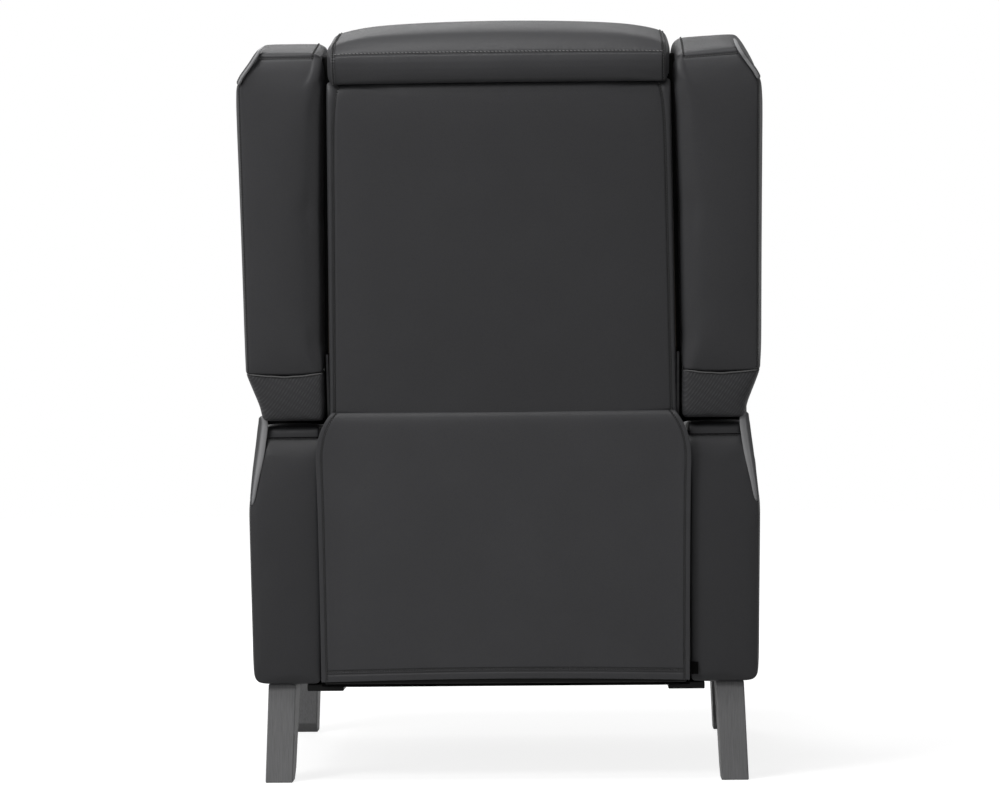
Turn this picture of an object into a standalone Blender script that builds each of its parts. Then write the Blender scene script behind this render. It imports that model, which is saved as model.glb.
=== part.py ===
# A gaming recliner: padded arms on four legs, a winged back that reclines on two
# pivot bolts, and a footrest that swings out on two sets of flat links.
# Metres, +Z up. The sitter faces -Y, the sitter's left is +X. The origin is on the
# floor, under the middle of the chair.

import math

import bmesh
import bpy
from mathutils import Matrix, Vector

# Clearances
rest_gap = 0.0003
running_gap = 0.001

# Seat
seat_front = 0.415
seat_height = 0.334
seat_slope_degrees = 5.0
seat_cushion_length = 0.53
seat_cushion_thickness = 0.118
seat_cushion_gap = 0.00075
seat_crown = 0.018
seat_groove = 0.012
seat_draw = 0.004
seat_frame_setback = 0.07
seat_frame_end = 0.01
seat_frame_width = 0.42
seat_frame_gap = 0.038
seat_rail_height = 0.034
seat_rail_width = 0.024
seat_rail_edge = 0.002
seat_beam_setback = 0.235
seat_beam_width = 0.03
seat_beam_height = 0.02
spring_wire = 0.0018
spring_sway = 0.021
spring_drop = 0.012
spring_count = 4
spring_waves = 6
tie_radius = 0.0022

# Arms and legs
arm_width = 0.0965
arm_flap_gap = 0.004415
arm_front = 0.393
arm_bottom = 0.134
arm_rise = 0.1323
arm_pad_height = 0.0205
arm_panel_thickness = 0.012
arm_widest_drop = 0.0913
arm_widest_front_drop = 0.0363
arm_foot_draw = 0.0045
arm_cant_rear = 0.0225
arm_cant_front = 0.007
arm_cant_run = 0.13
arm_round = 0.022
arm_edge = 0.006
leg_width = 0.037
leg_depth = 0.073
leg_foot_depth = 0.047
leg_splay = 0.0055
leg_toe = 0.015
leg_edge = 0.0015
rear_leg_from_side = 0.0605
front_leg_from_side = 0.042
rear_leg_inset = 0.012
front_leg_inset = 0.02

# Flat welts of the arms and wings
welt_width = 0.006
welt_thickness = 0.0015

# Steel base
rail_inset = 0.029
rail_leg_gap = 0.016
rail_thickness = 0.0097
rail_rear_inset = 0.008
rail_front = 0.06
tube_radius = 0.0125
square_tube = 0.024
square_tube_edge = 0.002
front_tube_forward = 0.04

# Flat bars of the mechanism
bar_thickness = 0.004
bar_width = 0.02
pin_radius = 0.004
pin_slack = 0.0004
pin_collar = 0.007
sheet_thickness = 0.003

# Footrest linkage, in side view: forward of the origin and above the floor
lift_pivot_forward = 0.253
lift_pivot_drop = 0.0595
lift_length = 0.158
lift_rest_degrees = 222.6
carry_length = 0.217
carry_degrees = 22.3
guide_offset = 0.065
tilt_pin_distance = 0.1285
tilt_bracket_forward = 0.007
tilt_bracket_rise = 0.033
tilt_eye_radius = 0.0085
tilt_eye_back = 0.0026
tilt_eye_drop = 0.0016
tilt_eye_wall = 0.004
lift_tube_radius = 0.008
carry_tube_radius = 0.007

# Footrest
bracket_reach = 0.018
bracket_flange = 0.02
bracket_flange_drop = 0.04
bracket_flange_rise = 0.055
board_thickness = 0.012
board_side_gap = 0.015
board_edge = 0.002
pad_thickness = 0.0475
pad_side_gap = 0.006
pad_drop = 0.0995
pad_rise = 0.078
pad_crown = 0.009
pad_margin = 0.005

# Reclining back, measured up the back and rearwards from its pivot
pivot_setback = 0.065
pivot_drop = 0.034
back_tilt_degrees = 14.0
bolt_radius = 0.006
bolt_head = 0.011
bolt_head_length = 0.005
back_bottom = 0.1
back_top = 0.669
back_rear = 0.06
panel_thickness = 0.015
panel_crown = 0.004
panel_gap_low = 0.0065
panel_gap_high = 0.006
upright_width = 0.025
upright_depth = 0.018
upright_end = 0.012
upright_lean = 0.0045
frame_edge = 0.0015
cross_rail_depth = 0.0195
cross_rail_height = 0.03
low_rail_rise = 0.145
middle_rail_drop = 0.249
top_rail_drop = 0.049
bracket_thickness = 0.003
bracket_width = 0.036
bracket_boss = 0.022
bracket_top = 0.3
shoulder_height = 0.2
head_height = 0.124
cushion_depth = 0.082
lumbar_crown = 0.024
shoulder_crown = 0.012
head_crown = 0.016
channel_groove = 0.009
cushion_draw = 0.003
roll_height = 0.063
roll_crest_fall = 0.021
roll_band = 0.038
roll_front = 0.095
roll_overhang = 0.006
roll_gap = 0.007
roll_round = 0.014

# Wings, in the back's own measures
wing_overlap = 0.008
wing_lean = 0.0105
wing_overhang = 0.0005
wing_side_lean = 0.002
wing_arm_gap = 0.0032
wing_pad_height = 0.0636
wing_rise = 0.035
wing_cant = 0.032
wing_front_low = 0.125
wing_front_high = 0.075
wing_front_round = 0.03
wing_rear_round = 0.01
wing_foot_rise = 0.0124
wing_foot_draw = 0.02
wing_edge = 0.004

# Cloth flap behind the seat
flap_offset = 0.0008
flap_thickness = 0.0025
flap_top_inset = 0.01725
flap_overlap = 0.0044
flap_wide_drop = 0.0363
flap_bottom_inset = 0.0004
flap_rise = 0.004
flap_hem_arch = 0.003
flap_fold = 0.0025
flap_folds = 3
flap_tuck_share = 0.8

# Widths and places worked out from the sizes above, from the seat outwards
seat_room = seat_frame_width + 2 * seat_frame_gap
seat_cushion_width = seat_room - 2 * seat_cushion_gap
seat_frame_length = seat_cushion_length - seat_frame_setback - seat_frame_end
spring_spacing = (seat_frame_width - 2 * seat_rail_width) / spring_count
arm_inside = seat_room / 2
arm_outside = arm_inside + arm_width
arm_seam = seat_height + arm_rise
arm_widest = arm_seam - arm_widest_drop
arm_widest_front = arm_seam - arm_widest_front_drop
rear_leg_inside = arm_outside - rear_leg_from_side
front_leg_inside = arm_outside - front_leg_from_side
rail_inside = arm_inside - rail_inset
rail_outside = rear_leg_inside - rail_leg_gap
board_width = seat_room - 2 * board_side_gap
pad_width = seat_room - 2 * pad_side_gap
lift_pivot_height = seat_height - lift_pivot_drop
pivot_rear = seat_cushion_length - seat_front + pivot_setback
pivot_height = seat_height - pivot_drop
back_sine = math.sin(math.radians(back_tilt_degrees))
back_cosine = math.cos(math.radians(back_tilt_degrees))
middle_rail_rise = back_top - middle_rail_drop
top_rail_rise = back_top - top_rail_drop
shoulder_top = back_top - head_height
lumbar_top = shoulder_top - shoulder_height
roll_crest = back_top + roll_height
wing_top = back_top + wing_rise
wing_gap_low = arm_inside - wing_overlap
wing_gap_high = wing_gap_low - wing_lean
wing_outside_low = arm_outside + wing_overhang
wing_outside_high = wing_outside_low - wing_side_lean
wing_lowest = arm_seam + arm_pad_height + wing_arm_gap
wing_bottom = (wing_lowest - pivot_height + back_rear * back_sine) / back_cosine
wing_seam = wing_bottom + wing_pad_height
back_width_low = 2 * (wing_gap_low - panel_gap_low)
back_width_high = 2 * (wing_gap_high - panel_gap_high)
roll_width = 2 * (wing_gap_high - roll_gap)
flap_tuck = wing_bottom + wing_foot_rise * flap_tuck_share
flap_top = pivot_height - back_rear * back_sine + flap_tuck * back_cosine
flap_front = pivot_rear + back_rear * back_cosine + flap_tuck * back_sine + flap_offset
flap_wide_height = arm_seam - flap_wide_drop
flap_bottom = arm_bottom + flap_rise
flap_top_width = seat_room - 2 * flap_top_inset
flap_wide = seat_room + 2 * flap_overlap
flap_bottom_width = seat_room - 2 * flap_bottom_inset
arm_rear = flap_front - arm_flap_gap


def collection(name):
    made = bpy.data.collections.new(name)
    bpy.context.scene.collection.children.link(made)
    return made


for old in list(bpy.data.objects):
    bpy.data.objects.remove(old)
recliner = collection("gaming_recliner")
cutters = collection("cutters")


def srgb(value):
    return ((value + 0.055) / 1.055) ** 2.4 if value > 0.04045 else value / 12.92


def material(name, grey_share, warmth_share, roughness, metallic):
    made = bpy.data.materials.new(name)
    made.use_nodes = True
    shader = made.node_tree.nodes["Principled BSDF"]
    colour = (grey_share, grey_share, grey_share + warmth_share)
    shader.inputs["Base Color"].default_value = (*map(srgb, colour), 1)
    shader.inputs["Roughness"].default_value = roughness
    shader.inputs["Metallic"].default_value = metallic
    return made


leather = material("grey_synthetic_leather", 0.25, 0.006, 0.55, 0)
trim_leather = material("light_grey_welt", 0.42, 0.006, 0.6, 0)
patterned = material("woven_pattern_leather", 0.2, 0.006, 0.6, 0)
cloth = material("charcoal_cloth", 0.24, 0.006, 0.85, 0)
leg_finish = material("grey_leg", 0.46, 0.004, 0.5, 0)
black_steel = material("black_painted_steel", 0.06, 0, 0.45, 0.6)
zinc = material("zinc_plated_steel", 0.6, 0.004, 0.35, 1)
timber = material("plywood", 0.5, -0.12, 0.8, 0)
spring_steel = material("spring_steel", 0.3, 0, 0.4, 1)


def empty(name, location, turn_degrees, parent=None):
    made = bpy.data.objects.new(name, None)
    made.location = location
    made.rotation_euler.x = math.radians(turn_degrees)
    made.parent = parent
    recliner.objects.link(made)
    return made


def place(name, mesh, finish, parent=None, home=recliner):
    made = bpy.data.objects.new(name, mesh)
    mesh.materials.clear()
    mesh.materials.append(finish)
    made.parent = parent
    home.objects.link(made)
    return made


def mesh_of(bm, name):
    bmesh.ops.recalc_face_normals(bm, faces=bm.faces[:])
    mesh = bpy.data.meshes.new(name)
    bm.to_mesh(mesh)
    bm.free()
    mesh.shade_smooth()
    mesh.set_sharp_from_angle(angle=math.radians(40))
    return mesh


def evaluated(obj):
    bpy.context.view_layer.update()
    graph = bpy.context.evaluated_depsgraph_get()
    return bpy.data.meshes.new_from_object(obj.evaluated_get(graph))


def mirrored(mesh, name):
    other = mesh.copy()
    other.name = name
    other.transform(Matrix.Scale(-1, 4, Vector((1, 0, 0))))
    other.flip_normals()
    return other


def pair(name, mesh, finish, parent=None):
    """The left piece as it is built, and its mirror image on the right."""
    right = mirrored(mesh, name + "_right")
    return [
        place(name + "_left", mesh, finish, parent),
        place(name + "_right", right, finish, parent),
    ]


def bevel(obj, width, segments=2):
    made = obj.modifiers.new("rounded_edges", "BEVEL")
    made.width = width
    made.segments = segments
    made.limit_method = "ANGLE"
    return made


def subdivide(obj, levels=1):
    made = obj.modifiers.new("soft_surface", "SUBSURF")
    made.levels = levels
    made.render_levels = levels


def box_mesh(name, low, high):
    bm = bmesh.new()
    bmesh.ops.create_cube(bm, size=1)
    size = [b - a for a, b in zip(low, high)]
    middle = [(a + b) / 2 for a, b in zip(low, high)]
    bmesh.ops.scale(bm, vec=size, verts=bm.verts)
    bmesh.ops.translate(bm, vec=middle, verts=bm.verts)
    return mesh_of(bm, name)


def rod_mesh(name, radius, start, end, centre=(0, 0), segments=16):
    """A round bar along X, from start to end, round the point (y, z)."""
    bm = bmesh.new()
    turn = Matrix.Rotation(math.radians(90), 4, "Y")
    middle = Matrix.Translation(((start + end) / 2, *centre))
    bmesh.ops.create_cone(
        bm,
        cap_ends=True,
        segments=segments,
        radius1=radius,
        radius2=radius,
        depth=abs(end - start),
        matrix=middle @ turn,
    )
    return mesh_of(bm, name)


def fused(name, meshes):
    """One body from meshes that overlap, by Boolean union."""
    body = place(name, meshes[0], black_steel, home=cutters)
    tools = []
    for number, mesh in enumerate(meshes[1:]):
        tool = place(f"{name}_tool_{number}", mesh, black_steel, home=cutters)
        tools.append(tool)
        union = body.modifiers.new("union", "BOOLEAN")
        union.operation = "UNION"
        union.object = tool
    joined = evaluated(body)
    for helper in [body, *tools]:
        bpy.data.objects.remove(helper)
    joined.name = name
    return joined


def loft(name, rings):
    """A closed body through rings with as many points each."""
    bm = bmesh.new()
    rows = [[bm.verts.new(point) for point in ring] for ring in rings]
    count = len(rows[0])
    for one, two in zip(rows, rows[1:]):
        for i in range(count):
            j = (i + 1) % count
            bm.faces.new((one[i], one[j], two[j], two[i]))
    bm.faces.new(rows[0])
    bm.faces.new(rows[-1])
    return mesh_of(bm, name)


def offset(corners, inset):
    """The corners of a convex outline, moved inwards by the inset."""
    count = len(corners)
    area = sum(
        a[0] * b[1] - b[0] * a[1] for a, b in zip(corners, corners[1:] + corners[:1])
    )
    side = math.copysign(1, area)
    moved = []
    for i, corner in enumerate(corners):
        here = Vector(corner)
        into = (here - Vector(corners[i - 1])).normalized()
        out = (Vector(corners[(i + 1) % count]) - here).normalized()
        normal_in = Vector((-into.y, into.x)) * side
        normal_out = Vector((-out.y, out.x)) * side
        bisector = normal_in + normal_out
        moved.append(here + bisector * (inset / (1 + normal_in.dot(normal_out))))
    return [tuple(point) for point in moved]


def rounded(corners, radii, steps=3):
    """An outline whose corners are arcs, each kept within half of its shorter side."""
    count = len(corners)
    outline = []
    for i, (corner, radius) in enumerate(zip(corners, radii)):
        here = Vector(corner)
        back = Vector(corners[i - 1]) - here
        ahead = Vector(corners[(i + 1) % count]) - here
        angle = back.angle(ahead)
        reach = min(radius / math.tan(angle / 2), back.length / 2, ahead.length / 2)
        start = here + back.normalized() * reach
        end = here + ahead.normalized() * reach
        for step in range(steps + 1):
            share = step / steps
            one = start.lerp(here, share)
            two = here.lerp(end, share)
            outline.append(tuple(one.lerp(two, share)))
    return outline


def ring_across(outline, forward):
    """An outline in X and Z as a ring at this distance in front of the origin."""
    return [(x, -forward, z) for x, z in outline]


def arc(centre, radius, start_degrees, end_degrees, steps=8):
    turn = (end_degrees - start_degrees) / steps
    angles = [math.radians(start_degrees + turn * i) for i in range(steps + 1)]
    return [
        (centre[0] + radius * math.cos(a), centre[1] + radius * math.sin(a))
        for a in angles
    ]


def circle(centre, radius, segments=16):
    return arc(centre, radius, 0, 360 - 360 / segments, segments - 1)


def plate_mesh(name, outline, holes, inner, thickness):
    """A flat plate in side view, its points given forward and up, its inner face at
    this X and its outer face one thickness further out."""
    curve = bpy.data.curves.new(name, "CURVE")
    curve.dimensions = "2D"
    curve.fill_mode = "BOTH"
    curve.extrude = thickness / 2
    for points in [outline, *holes]:
        spline = curve.splines.new("POLY")
        spline.points.add(len(points) - 1)
        for target, (forward, up) in zip(spline.points, points):
            target.co = (forward, up, 0, 1)
        spline.use_cyclic_u = True
    shape = bpy.data.objects.new(name, curve)
    cutters.objects.link(shape)
    mesh = evaluated(shape)
    bpy.data.objects.remove(shape)
    middle = inner + thickness / 2
    side_view = Matrix(((0, 0, -1, middle), (-1, 0, 0, 0), (0, 1, 0, 0), (0, 0, 0, 1)))
    bm = bmesh.new()
    bm.from_mesh(mesh)
    bmesh.ops.remove_doubles(bm, verts=bm.verts, dist=pin_slack / 10)
    bmesh.ops.transform(bm, matrix=side_view, verts=bm.verts)
    return mesh_of(bm, name)


def bar_outline(length, radius):
    """A flat bar from the origin forwards, with half-round ends."""
    return arc((length, 0), radius, -90, 90) + arc((0, 0), radius, 90, 270)


def cushion(name, low, high, half_low, half_high, depth, crown, cells, **more):
    """A stuffed pad. It lies from low to high, is half_low to half_high wide on each
    side, and rises by depth and its crown. Channels are drawn down by a groove, and
    its sides are drawn in at mid-length."""
    columns, rows = cells
    channels = more.get("channels", 1)
    groove = more.get("groove", 0)
    draw = more.get("draw", 0)
    bm = bmesh.new()
    bmesh.ops.create_grid(bm, x_segments=columns, y_segments=rows, size=1)
    grown = bmesh.ops.extrude_face_region(bm, geom=bm.faces[:])["geom"]
    front = [item for item in grown if isinstance(item, bmesh.types.BMVert)]
    bmesh.ops.translate(bm, vec=(0, 0, 1), verts=front)
    sides = [edge for edge in bm.edges if edge.verts[0].co.z != edge.verts[1].co.z]
    bmesh.ops.subdivide_edges(bm, edges=sides, cuts=1, use_grid_fill=True)
    columns_each = columns // channels
    for vert in bm.verts:
        across, along, level = vert.co
        half = half_low + (half_high - half_low) * (along + 1) / 2
        drawn = draw * (1 - along**2) * abs(across) ** 3
        dome = crown * (1 - across**2) * (1 - along**4)
        column = round((across + 1) / 2 * columns)
        furrow = column % columns_each == 0 and 0 < column < columns
        ends = 1 - abs(along) ** 6
        vert.co = (
            across * (half - drawn),
            low + (high - low) * (along + 1) / 2,
            level * (depth + dome - (groove * ends if furrow else 0)),
        )
    return mesh_of(bm, name)


# Turns of a cushion's own axes (across, along, thick) onto the piece that carries it
facing_forward = Matrix(((1, 0, 0, 0), (0, 0, -1, 0), (0, 1, 0, 0), (0, 0, 0, 1)))
facing_rear = Matrix(((-1, 0, 0, 0), (0, 0, 1, 0), (0, 1, 0, 0), (0, 0, 0, 1)))
facing_up = Matrix(((-1, 0, 0, 0), (0, -1, 0, 0), (0, 0, 1, 0), (0, 0, 0, 1)))


def soft(name, mesh, facing, shift, finish, parent=None):
    mesh.transform(Matrix.Translation(shift) @ facing)
    made = place(name, mesh, finish, parent)
    subdivide(made)
    return made


def arm_corners(forward, inset=0):
    """The arm's section: inner bottom, inner top, outer top, widest, outer bottom."""
    run = min(1, (forward + arm_rear) / arm_cant_run)
    ease = run * (2 - run)
    cant = arm_cant_rear + (arm_cant_front - arm_cant_rear) * ease
    widest = arm_widest + (arm_widest_front - arm_widest) * ease
    corners = [
        (arm_inside, arm_bottom),
        (arm_inside, arm_seam),
        (arm_outside - cant, arm_seam),
        (arm_outside, widest),
        (arm_outside - arm_foot_draw, arm_bottom),
    ]
    return offset(corners, -inset if inset < 0 else inset)


def arm_outline(forward, inset=0):
    radii = [arm_edge, arm_edge, arm_edge, arm_round, arm_round]
    return rounded(arm_corners(forward, inset), radii)


# How far each ring near an end is drawn in, against how far it lies from the end
end_round_shares = [(0, 1), (0.3, 0.3), (1, 0)]

# Rings along the arm and its pad, as shares of the run of its cant
arm_ring_shares = (0.25, 0.5, 1, 2, 3.2)
pad_ring_shares = (0.6, 1, 2.5)


def build_arms():
    rear = -arm_rear
    stations = [(rear + arm_edge * run, arm_edge * draw) for run, draw in end_round_shares]
    for share in arm_ring_shares:
        stations.append((rear + arm_cant_run * share, 0))
    stations += [
        (arm_front - arm_edge * run, arm_edge * draw)
        for run, draw in reversed(end_round_shares)
    ]
    rings = [ring_across(arm_outline(at, inset), at) for at, inset in stations]
    pair("arm", loft("arm", rings), leather)


def arm_pad_ring(forward, height_share, inset):
    corners = arm_corners(forward)
    inner, outer = corners[1][0], corners[2][0]
    bottom = arm_seam + rest_gap
    top = bottom + arm_pad_height * height_share
    middle = (inner + outer) / 2
    crown = arm_pad_height / 6 * height_share
    shape = [
        (inner + inset, bottom),
        (inner + inset, top - crown),
        (middle, top),
        (outer - inset, top - crown),
        (outer - inset, bottom),
    ]
    radii = [arm_edge / 3, arm_edge, arm_round, arm_edge, arm_edge / 3]
    return ring_across(rounded(shape, radii, 2), forward)


# The arm pad's end: distance from the end, height, and draw of the sides, as shares
pad_end_shares = [(0, 0.3, 1), (0.15, 0.6, 0.5), (0.45, 0.85, 0.15), (1, 1, 0)]


def build_arm_pads():
    run = arm_pad_height * 1.5
    rear = [(-arm_rear + run * at, high, draw) for at, high, draw in pad_end_shares]
    front = [
        (arm_front + arm_panel_thickness - run * at, high, draw)
        for at, high, draw in reversed(pad_end_shares)
    ]
    middle = [(-arm_rear + arm_cant_run * share, 1, 0) for share in pad_ring_shares]
    rings = [
        arm_pad_ring(at, high, arm_edge * draw) for at, high, draw in rear + middle + front
    ]
    pair("arm_pad", loft("arm_pad", rings), leather)


def build_arm_fronts():
    start = arm_front + rest_gap
    depth = arm_panel_thickness - rest_gap
    rings = []
    for run, draw in ((0, 0.5), (0.4, 0.35), (0.8, 0.9), (1, 2)):
        outline = arm_outline(arm_front, arm_edge * draw)
        rings.append(ring_across(outline, start + depth * run))
    pair("arm_front", loft("arm_front", rings), leather)


def strip_mesh(name, start, end, behind):
    """A flat strip between two points in X and Z, standing out behind this Y."""
    one, two = Vector(start), Vector(end)
    length = (two - one).length
    outline = bar_outline(length, welt_width / 2)
    mesh = plate_mesh(name, outline, [], 0, welt_thickness)
    lean = math.atan2(two.y - one.y, two.x - one.x)
    to_rear = Matrix.Rotation(math.radians(90), 4, "Z")
    turn = Matrix.Rotation(-lean, 4, "Y")
    shift = Matrix.Translation((one.x, behind, one.y))
    mesh.transform(shift @ turn @ to_rear)
    return mesh


def build_arm_welts():
    top = arm_corners(-arm_rear)[2]
    widest = arm_corners(-arm_rear)[3]
    start = (top[0] - arm_edge, top[1] + arm_pad_height / 2 - welt_width)
    end = (widest[0] - arm_edge, widest[1])
    mesh = strip_mesh("arm_welt", start, end, arm_rear + rest_gap)
    pair("arm_welt", mesh, trim_leather)


def build_legs():
    top = arm_bottom - rest_gap
    places = (
        ("leg_rear", rear_leg_inside, -arm_rear + rear_leg_inset, 1),
        ("leg_front", front_leg_inside, arm_front - front_leg_inset, -1),
    )
    for name, inside, outer_face, inwards in places:
        rings = []
        for height, share, trim in ((top, 0, 0), (leg_toe, 1 - leg_toe / top, 0), (0, 1, 1)):
            depth = leg_depth + (leg_foot_depth - leg_depth) * share
            near = outer_face
            far = outer_face + inwards * (depth - leg_toe * trim * share)
            left = inside + leg_splay * share
            right = left + leg_width
            rings.append([(left, -near, height), (right, -near, height),
                          (right, -far, height), (left, -far, height)])
        for leg in pair(name, loft(name, rings), leg_finish):
            bevel(leg, leg_edge)


def build_base():
    top = arm_bottom - rest_gap
    rear = arm_rear - rail_rear_inset
    low = (rail_inside, -rail_front, top - rail_thickness)
    high = (rail_outside, rear, top)
    for rail in pair("base_rail", box_mesh("base_rail", low, high), black_steel):
        bevel(rail, leg_edge)
    half = arm_inside - rest_gap - bar_thickness - rest_gap
    end = flap_front - rest_gap
    tube_bottom = arm_bottom + rest_gap
    low = (-half, end - square_tube, tube_bottom)
    high = (half, end, tube_bottom + square_tube)
    rear_tube = place("base_tube_rear", box_mesh("base_tube_rear", low, high), black_steel)
    bevel(rear_tube, square_tube_edge)
    centre = (-front_tube_forward, tube_bottom + tube_radius)
    front_tube = rod_mesh("base_tube_front", tube_radius, -half, half, centre)
    place("base_tube_front", front_tube, black_steel)


# Lateral places of the flat bars, by their inner faces, from the arm inwards
plate_layer = arm_inside - rest_gap - bar_thickness
tilt_layer = plate_layer - running_gap - bar_thickness
lift_layer = tilt_layer - running_gap - bar_thickness
carry_layer = lift_layer - running_gap - bar_thickness
bolt_layer = arm_inside - rest_gap


def along(start, length, degrees):
    """The point this far from start, at this angle above forwards, in side view."""
    angle = math.radians(degrees)
    return (start[0] + length * math.cos(angle), start[1] + length * math.sin(angle))


lift_pivot_point = (lift_pivot_forward, lift_pivot_height)
guide_pivot_point = along(lift_pivot_point, guide_offset, carry_degrees)
carry_pivot_point = along(lift_pivot_point, lift_length, lift_rest_degrees)
footrest_pivot_point = along(carry_pivot_point, carry_length, carry_degrees)
tilt_pivot_point = along(lift_pivot_point, tilt_pin_distance, lift_rest_degrees)
tilt_end_point = (
    footrest_pivot_point[0] + tilt_bracket_forward,
    footrest_pivot_point[1] + tilt_bracket_rise,
)
tilt_length = math.dist(tilt_pivot_point, tilt_end_point)
tilt_rest_degrees = math.degrees(
    math.atan2(
        tilt_end_point[1] - tilt_pivot_point[1], tilt_end_point[0] - tilt_pivot_point[0]
    )
)
pin_hole = pin_radius + pin_slack


# Round holes in the side plate: places along it, and their height above its foot
plate_hole_shares = (0.12, 0.3, 0.48)
plate_hole_rise_share = 0.4


def build_side_plates():
    pivot = (-pivot_rear, pivot_height)
    foot = arm_bottom + rest_gap
    boss = bar_width * 0.7
    rear_end = -arm_rear + rail_rear_inset + rest_gap
    shoulder = seat_height - seat_frame_length * math.tan(math.radians(seat_slope_degrees))
    shoulder -= seat_rail_height / 3
    outline = [(rear_end, foot), (rear_end, foot + square_tube * 1.5)]
    outline += reversed(arc(pivot, bracket_boss, 20, 170, 6))
    outline.append((pivot[0] + bracket_boss * 2, shoulder))
    outline.append((lift_pivot_forward - bar_width * 2, shoulder))
    outline += reversed(arc(guide_pivot_point, boss, -60, 110, 6))
    outline += reversed(arc(lift_pivot_point, boss, -110, -60, 3))
    outline.append((lift_pivot_forward - bar_width * 4, lift_pivot_height - bar_width * 1.5))
    outline.append((rail_front - rail_rear_inset, foot + tube_radius * 2))
    outline.append((rail_front - rail_rear_inset, foot))
    holes = [circle(pivot, bolt_radius + pin_slack)]
    rise = foot + (shoulder - foot) * plate_hole_rise_share
    for share in plate_hole_shares:
        middle = (pivot[0] + (lift_pivot_forward - pivot[0]) * share, rise)
        holes.append(circle(middle, boss, 12))
    plate = plate_mesh("side_plate", outline, holes, plate_layer, bar_thickness)
    parts = [plate]
    for forward, up in (lift_pivot_point, guide_pivot_point):
        deep = plate_layer + bar_thickness / 2
        collar_end = lift_layer + bar_thickness + rest_gap
        parts.append(rod_mesh("collar", pin_collar, collar_end, deep, (-forward, up)))
        parts.append(rod_mesh("pin", pin_radius, lift_layer + rest_gap, deep, (-forward, up)))
    pair("side_plate", fused("side_plate", parts), zinc)


def pinned_bar(name, length, inner, holes, pins):
    """A flat bar along the forward axis. Each pin is (distance, start X, end X)."""
    bar = plate_mesh(name, bar_outline(length, bar_width / 2),
                     [circle((at, 0), pin_hole) for at in holes], inner, bar_thickness)
    parts = [bar]
    for at, start, end in pins:
        parts.append(rod_mesh("pin", pin_radius, start, end, (-at, 0)))
    return fused(name, parts)


def point(side_view_point):
    return (0, -side_view_point[0], side_view_point[1])


lift_pivot = empty("lift_pivot", point(lift_pivot_point), -lift_rest_degrees)
carry_pivot = empty(
    "carry_pivot", (0, -lift_length, 0), lift_rest_degrees - carry_degrees, lift_pivot
)
footrest_pivot = empty("footrest_pivot", (0, -carry_length, 0), carry_degrees, carry_pivot)
tilt_pivot = empty(
    "tilt_pivot",
    (0, -tilt_pin_distance, 0),
    lift_rest_degrees - tilt_rest_degrees,
    lift_pivot,
)
guide_pivot = empty("guide_pivot", point(guide_pivot_point), -lift_rest_degrees)
back_pivot = empty("back_pivot", (0, pivot_rear, pivot_height), -back_tilt_degrees)
seat_origin = empty("seat_origin", (0, -seat_front, seat_height), -seat_slope_degrees)


def build_links():
    bury = bar_thickness / 2
    inwards = (carry_layer - rest_gap, lift_layer + bury)
    outwards = (lift_layer + bury, plate_layer - running_gap + rest_gap)
    lift = pinned_bar(
        "lift_link",
        lift_length,
        lift_layer,
        [0],
        [(lift_length, *inwards), (tilt_pin_distance, *outwards)],
    )
    pair("lift_link", lift, zinc, lift_pivot)
    half = lift_layer - rest_gap
    place("lift_tube", rod_mesh("lift_tube", lift_tube_radius, -half, half), black_steel,
          lift_pivot)

    guide = pinned_bar("guide_link", lift_length, lift_layer, [0], [(lift_length, *inwards)])
    pair("guide_link", guide, zinc, guide_pivot)

    to_bracket = (carry_layer + bury, lift_layer + bar_thickness + rest_gap)
    carry = pinned_bar(
        "carry_link",
        carry_length,
        carry_layer,
        [0, guide_offset],
        [(carry_length, *to_bracket)],
    )
    pair("carry_link", carry, zinc, carry_pivot)
    half = carry_layer - rest_gap
    centre = (-(carry_length + guide_offset) * 0.42, 0)
    place("carry_tube", rod_mesh("carry_tube", carry_tube_radius, -half, half, centre),
          black_steel, carry_pivot)


def build_tilt_links():
    """The end at the bracket is an eye with room for the pin to wander."""
    eye = (tilt_length - tilt_eye_back, -tilt_eye_drop)
    eye_outside = tilt_eye_radius + tilt_eye_wall
    outline = arc(eye, eye_outside, -130, 130, 12) + arc((0, 0), bar_width / 2, 90, 270)
    holes = [circle((0, 0), pin_hole), circle(eye, tilt_eye_radius, 20)]
    mesh = plate_mesh("tilt_link", outline, holes, tilt_layer, bar_thickness)
    pair("tilt_link", mesh, zinc, tilt_pivot)


def build_footrest():
    reach = bracket_reach - rest_gap
    boss = bar_width / 2
    end = (tilt_bracket_forward, tilt_bracket_rise)
    outline = [(reach, -bracket_flange_drop), (reach, bracket_flange_rise)]
    outline += arc(end, boss, 110, 190, 4)
    outline += arc((0, 0), boss * 1.2, 160, 290, 6)
    plate = plate_mesh("footrest_bracket", outline, [circle((0, 0), pin_hole)], lift_layer,
                       bar_thickness)
    flange = box_mesh(
        "flange",
        (lift_layer - bracket_flange, -reach, -bracket_flange_drop),
        (lift_layer + bar_thickness / 2, sheet_thickness - reach, bracket_flange_rise),
    )
    pin = rod_mesh("pin", pin_radius, lift_layer + bar_thickness / 2,
                   plate_layer - running_gap + rest_gap, (-end[0], end[1]))
    pair("footrest_bracket", fused("footrest_bracket", [plate, flange, pin]), zinc,
         footrest_pivot)

    board_front = bracket_reach + board_thickness
    low = (-board_width / 2, -board_front, pad_margin - pad_drop)
    high = (board_width / 2, -bracket_reach, pad_rise - pad_margin)
    board = place("footrest_board", box_mesh("footrest_board", low, high), timber,
                  footrest_pivot)
    bevel(board, board_edge, 1)
    half = pad_width / 2
    mesh = cushion("footrest_pad", -pad_drop, pad_rise, half, half,
                   pad_thickness - pad_crown - rest_gap, pad_crown, (9, 3),
                   channels=3, groove=channel_groove / 2, draw=cushion_draw)
    soft("footrest_pad", mesh, facing_forward, (0, -board_front - rest_gap, 0), leather,
         footrest_pivot)


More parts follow.
